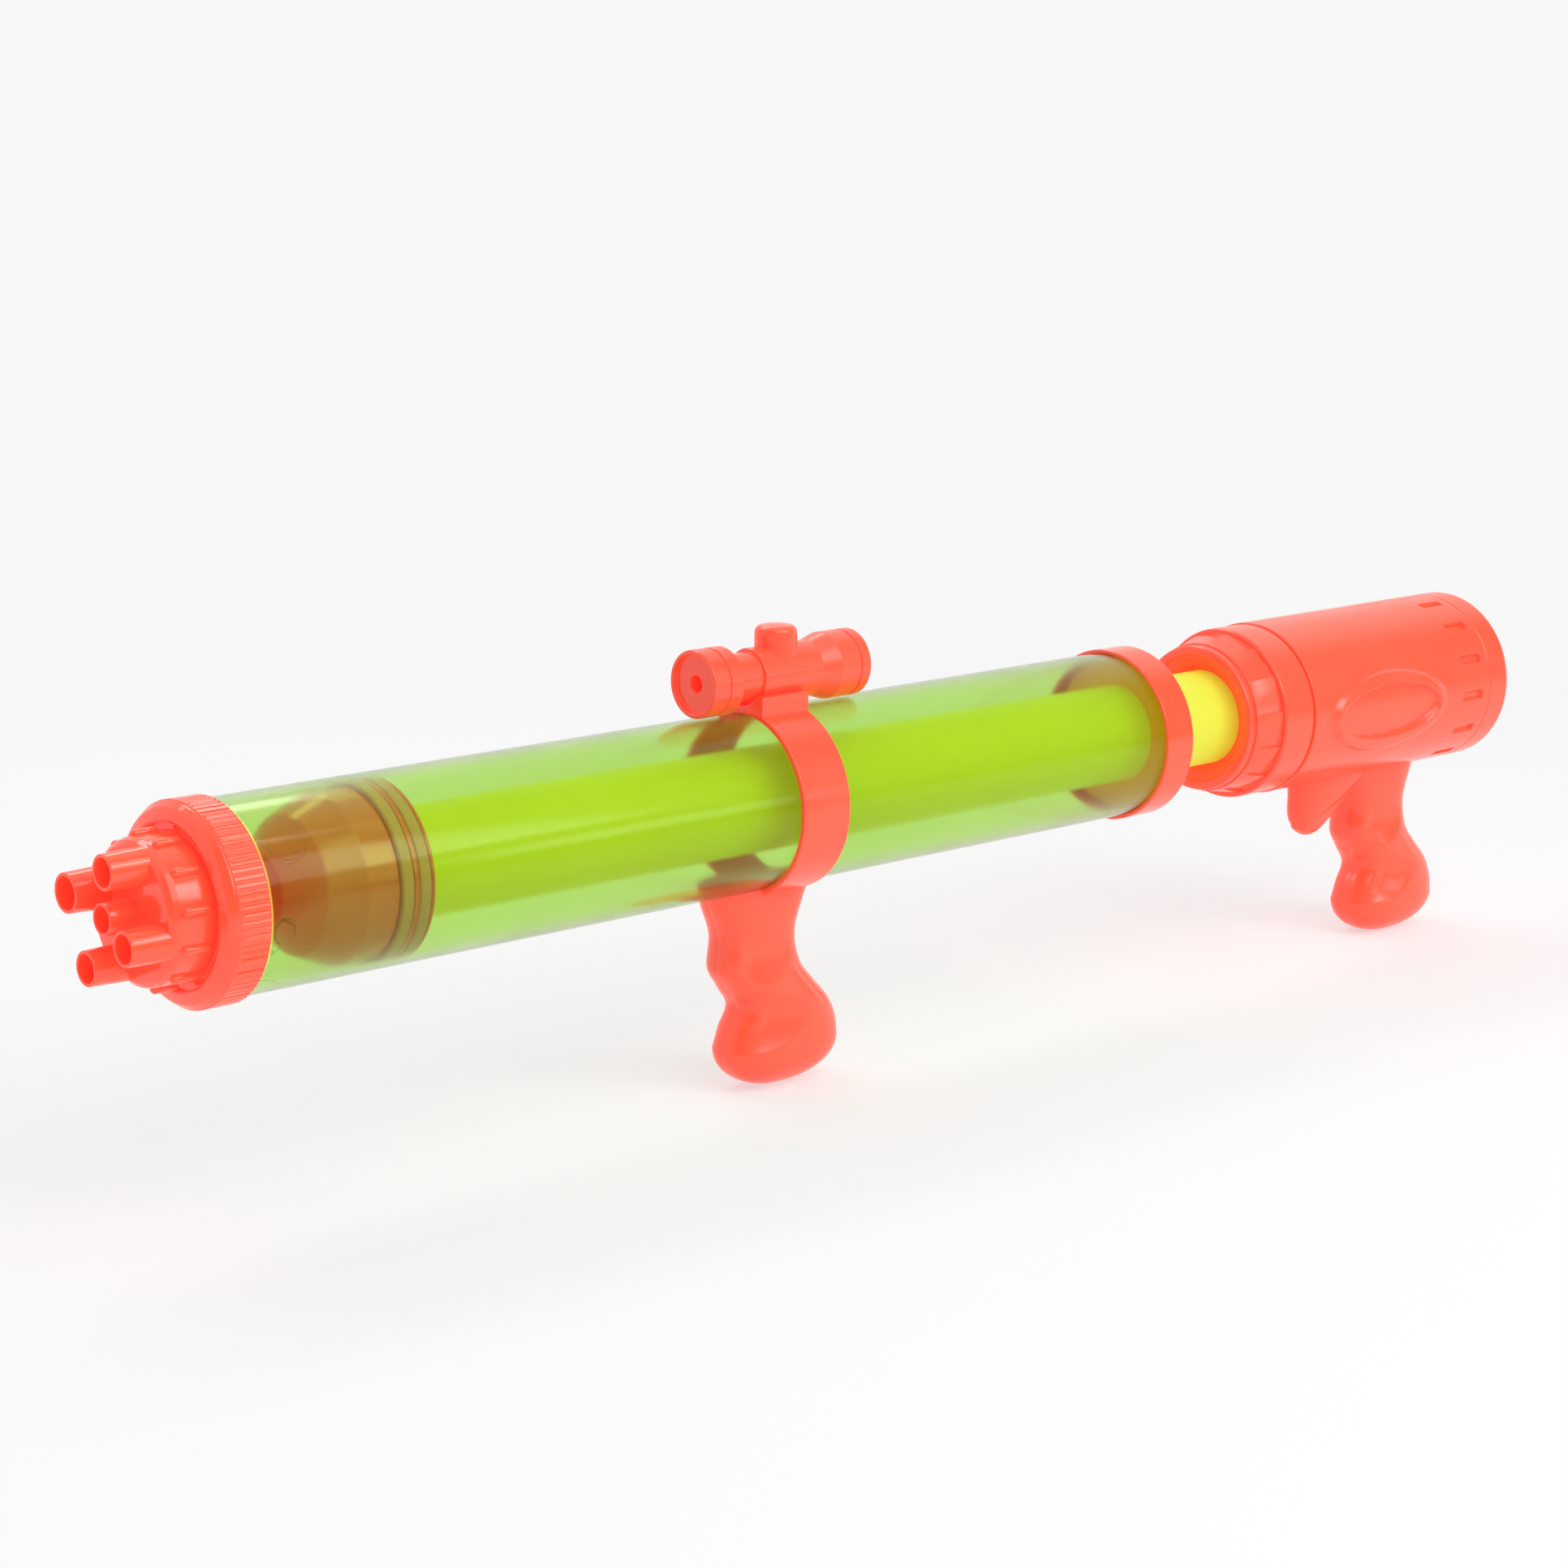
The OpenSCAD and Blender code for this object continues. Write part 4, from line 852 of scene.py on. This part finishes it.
def body_half():
    """Half shell of the handle's round body, with its oval, dashes and seams in the skin."""
    places = [X_BODY + 0.12 * k for k in range(5)]
    places += [X_BODY + 0.5 + (X_END - X_BODY - 1.0) * k / 220 for k in range(1, 220)]
    places += [X_END - 0.12 * k for k in range(4, -1, -1)]
    angles = [-QUARTER + math.pi * k / 208 for k in range(209)]
    points = [on_arc(x, HANDLE_R + body_relief(x, a), a) for x in places for a in angles]
    inner, rows, wide = len(points), len(places), len(angles)
    points += [on_arc(x, SHELL_R, a) for x in (X_BODY, X_END) for a in angles]
    faces = [[i * wide + j, i * wide + j + 1, (i + 1) * wide + j + 1, (i + 1) * wide + j]
             for i in range(rows - 1) for j in range(wide - 1)]
    last = (rows - 1) * wide
    for j in range(wide - 1):
        faces.append([inner + j, inner + j + 1, inner + wide + j + 1, inner + wide + j])
        faces.append([j, j + 1, inner + j + 1, inner + j])
        faces.append([last + j, last + j + 1, inner + wide + j + 1, inner + wide + j])
    for j in (0, wide - 1):
        faces.append([i * wide + j for i in range(rows)] + [inner + wide + j, inner + j])
    return points, faces


# Screws in a grip, from its middle and down from its seat, and in the handle's body
SCREW_HOLE_R, SCREW_SEAT = 3.3, 5.0
GRIP_SCREWS = [(-5.0, 17.5), (4.0, 50.0)]
BODY_SCREWS = [(530.0, 15.0), (590.0, 15.0)]


def screw_holes(places):
    """Tools that sink the screws' heads into the +Y side."""
    return [solid("screw_hole", bar(SCREW_SEAT, 40.0, SCREW_HOLE_R, 40, on_y, (x, 0, z)))
            for x, z in places]


def side_of(shape, right):
    """The +Y half as it is, or its mirror image for the -Y side."""
    return shape if right else mirrored(shape)


def foregrip(right):
    name = "right" if right else "left"
    arc = [math.pi * k / 96 - QUARTER for k in range(97)]
    seat_r = BARREL_R + FIT
    profile = rounded([(X_CLAMP, seat_r, 0.15), (X_CLAMP_END, seat_r, 0.15), (X_CLAMP_END, CLAMP_R, 0.5),
                       (X_CLAMP, CLAMP_R, 0.5)])
    band = lofted([[on_arc(x, r, a) for x, r in profile] for a in arc])
    half = solid("foregrip_" + name + "_half", side_of(band, right))
    block = box((X_CLAMP + 0.02, 0, 22.0), (X_CLAMP_END - 0.02, SADDLE_HALF, SADDLE_Z))
    grip = solid("grip", side_of(grip_half(X_FOREGRIP, -CLAMP_R), right))
    combined(half, "UNION", solid("saddle", side_of(block, right)), grip)
    tube_seat = bar(X_CLAMP - 40, X_CLAMP_END + 40, seat_r, 256)
    sight_seat = bar(X_CLAMP - 1, X_CLAMP_END + 1, SIGHT_SEAT_R, 96, on_x, (0, 0, SIGHT_Z))
    combined(half, "DIFFERENCE", solid("tube_seat", tube_seat), solid("sight_seat", sight_seat))
    if right:
        combined(half, "DIFFERENCE", *screw_holes([(X_FOREGRIP + x, -CLAMP_R - d) for x, d in GRIP_SCREWS]))
    dressed(half, "barrel", "red_plastic", SATIN, "foregrip_" + name)


def handle(right):
    name = "right" if right else "left"
    half = solid("handle_" + name + "_half", side_of(body_half(), right))
    lobes = []
    for part, shape in (("nib", nib_half()), ("grip", grip_half(X_HANDLE_GRIP, -HANDLE_R))):
        root = solid("root", bar(X_BODY - 5, X_END + 15, ROOT_R, 192))
        lobes.append(combined(solid(part, side_of(shape, right)), "DIFFERENCE", root))
    combined(half, "UNION", *lobes)
    if right:
        places = [(X_HANDLE_GRIP + x, -HANDLE_R - d) for x, d in GRIP_SCREWS] + BODY_SCREWS
        combined(half, "DIFFERENCE", *screw_holes(places))
    dressed(half, "plunger", "red_plastic", SATIN, "handle_" + name)


barrel()
collar()
head()
rear_cap()
sight()
plunger()
handle_front()
handle_back()
for right_side in (False, True):
    foregrip(right_side)
    handle(right_side)

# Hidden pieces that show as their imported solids
PLAIN = {"nozzle_gasket": BLACK, "rod_bush": WARM, "piston_pin": STEEL, "handle_pin": STEEL,
         "foregrip_screws": STEEL, "handle_screws": STEEL}
for node, finish in PLAIN.items():
    nodes[node].data.materials.clear()
    nodes[node].data.materials.append(finish)


# Floor, light and camera

BACKDROP, FLOOR_HALF, FLOOR_MIDDLE = 0.939, 6000, 0.26


def floor():
    """Pale floor under the grips that keeps the soft shadow and fades to the backdrop's white."""
    plane = solid("floor", box((-FLOOR_HALF, -FLOOR_HALF, -0.5), (FLOOR_HALF, FLOOR_HALF, 0)))
    plane.data.transform(Matrix.Translation((FLOOR_MIDDLE, 0, cad_box[0][2])))
    made = bpy.data.materials.new("pale_floor")
    made.use_nodes = True
    tree = made.node_tree
    tree.nodes.clear()
    at = add(tree, "ShaderNodeTexCoord").outputs["Object"]
    x, y = parts(tree, at)[:2]
    far = length_of(tree, maths(tree, "SUBTRACT", x, 0.3), y)
    paper = add(tree, "ShaderNodeBsdfDiffuse")
    tree.links.new(ranged(tree, noise(tree, at, 3.0), 0.0, 1.0, 0.9, 0.91), paper.inputs["Color"])
    glow = add(tree, "ShaderNodeEmission")
    glow.inputs["Color"].default_value = (BACKDROP, BACKDROP, BACKDROP, 1)
    path = add(tree, "ShaderNodeLightPath").outputs
    near = ranged(tree, y, -1.5, -0.1, 0.16, 1.0, smooth=True)
    tree.links.new(ranged(tree, path["Is Glossy Ray"], 0.0, 1.0, 1.0, near), glow.inputs["Strength"])
    bent = maths(tree, "MAXIMUM", path["Is Transmission Ray"], path["Is Glossy Ray"])
    seen = maths(tree, "MAXIMUM", path["Is Camera Ray"], bent)
    white = ranged(tree, far, 0.45, 1.1, 0.6, 1.0, smooth=True)
    mix = add(tree, "ShaderNodeMixShader")
    tree.links.new(maths(tree, "MULTIPLY", seen, white), mix.inputs[0])
    tree.links.new(paper.outputs[0], mix.inputs[1])
    tree.links.new(glow.outputs[0], mix.inputs[2])
    tree.links.new(mix.outputs[0], add(tree, "ShaderNodeOutputMaterial").inputs["Surface"])
    plane.data.materials.append(made)


def lamp(name, place, aim, wide, tall, power):
    """Area lamp at a place that points at an aim."""
    light = bpy.data.lights.new(name, "AREA")
    light.shape = "RECTANGLE"
    light.size, light.size_y, light.energy = wide, tall, power
    obj = bpy.data.objects.new(name, light)
    bpy.context.scene.collection.objects.link(obj)
    obj.location = place
    obj.rotation_euler = (Vector(aim) - Vector(place)).to_track_quat("-Z", "Y").to_euler()


def world():
    """White sheet behind and above, and a dim room on the near side.

    More of its light comes from the rear than from the front."""
    made = bpy.data.worlds.new("studio")
    bpy.context.scene.world = made
    made.use_nodes = True
    tree = made.node_tree
    x, y, z = parts(tree, add(tree, "ShaderNodeTexCoord").outputs["Generated"])
    sheet = maths(tree, "MAXIMUM", ranged(tree, y, -0.3, 0.2, 0.14, 1.0, smooth=True),
                  ranged(tree, z, 0.8, 0.95, 0.14, 1.0, smooth=True))
    open_side = ranged(tree, x, -0.8, 0.6, 0.42, 0.84, smooth=True)
    path = add(tree, "ShaderNodeLightPath").outputs
    white = maths(tree, "MAXIMUM", path["Is Camera Ray"], path["Is Transmission Ray"])
    seen = maths(tree, "MAXIMUM", white, path["Is Glossy Ray"])
    shown = maths(tree, "MULTIPLY", maths(tree, "MAXIMUM", white, sheet), BACKDROP)
    surface = tree.nodes["Background"]
    surface.inputs["Color"].default_value = (1, 1, 1, 1)
    tree.links.new(ranged(tree, seen, 0.0, 1.0, open_side, shown), surface.inputs["Strength"])


# Name, place, aim, width and height in metres, and watts
LAMPS = [("key", (0.2, -1.2, 1.1), (0.26, 0, 0), 1.4, 1.2, 11.5),
         ("front_window", (0.84, -1.05, 0.7), (0.02, 0, 0), 0.36, 0.6, 2.8),
         ("front_strip", (0.8, -0.42, 1.2), (0.02, 0, 0), 0.1, 0.1, 0.25),
         ("side_window", (2.0, -0.45, 0.1), (0.5, 0, -0.05), 0.4, 0.5, 1.0),
         ("low_window", (1.1, -1.18, 0.17), (0.58, 0, -0.08), 0.24, 0.2, 0.48),
         ("back", (0.3, 0.8, 1.0), (0.3, 0, 0), 1.2, 0.3, 4.0)]

floor()
world()
for row in LAMPS:
    lamp(*row)

CAMERA_AT, CAMERA_AIM = Vector((-0.5192, -0.8661, 0.2434)), Vector((0.2645, 0, 0.00338))
lens = bpy.data.cameras.new("camera")
lens.sensor_fit = "HORIZONTAL"
lens.sensor_width = 36.0
lens.lens = 81.43
camera = bpy.data.objects.new("camera", lens)
bpy.context.scene.collection.objects.link(camera)
camera.location = CAMERA_AT
camera.rotation_euler = (CAMERA_AIM - CAMERA_AT).to_track_quat("-Z", "Y").to_euler()
bpy.context.scene.camera = camera
bpy.context.scene.view_settings.view_transform = "Standard"
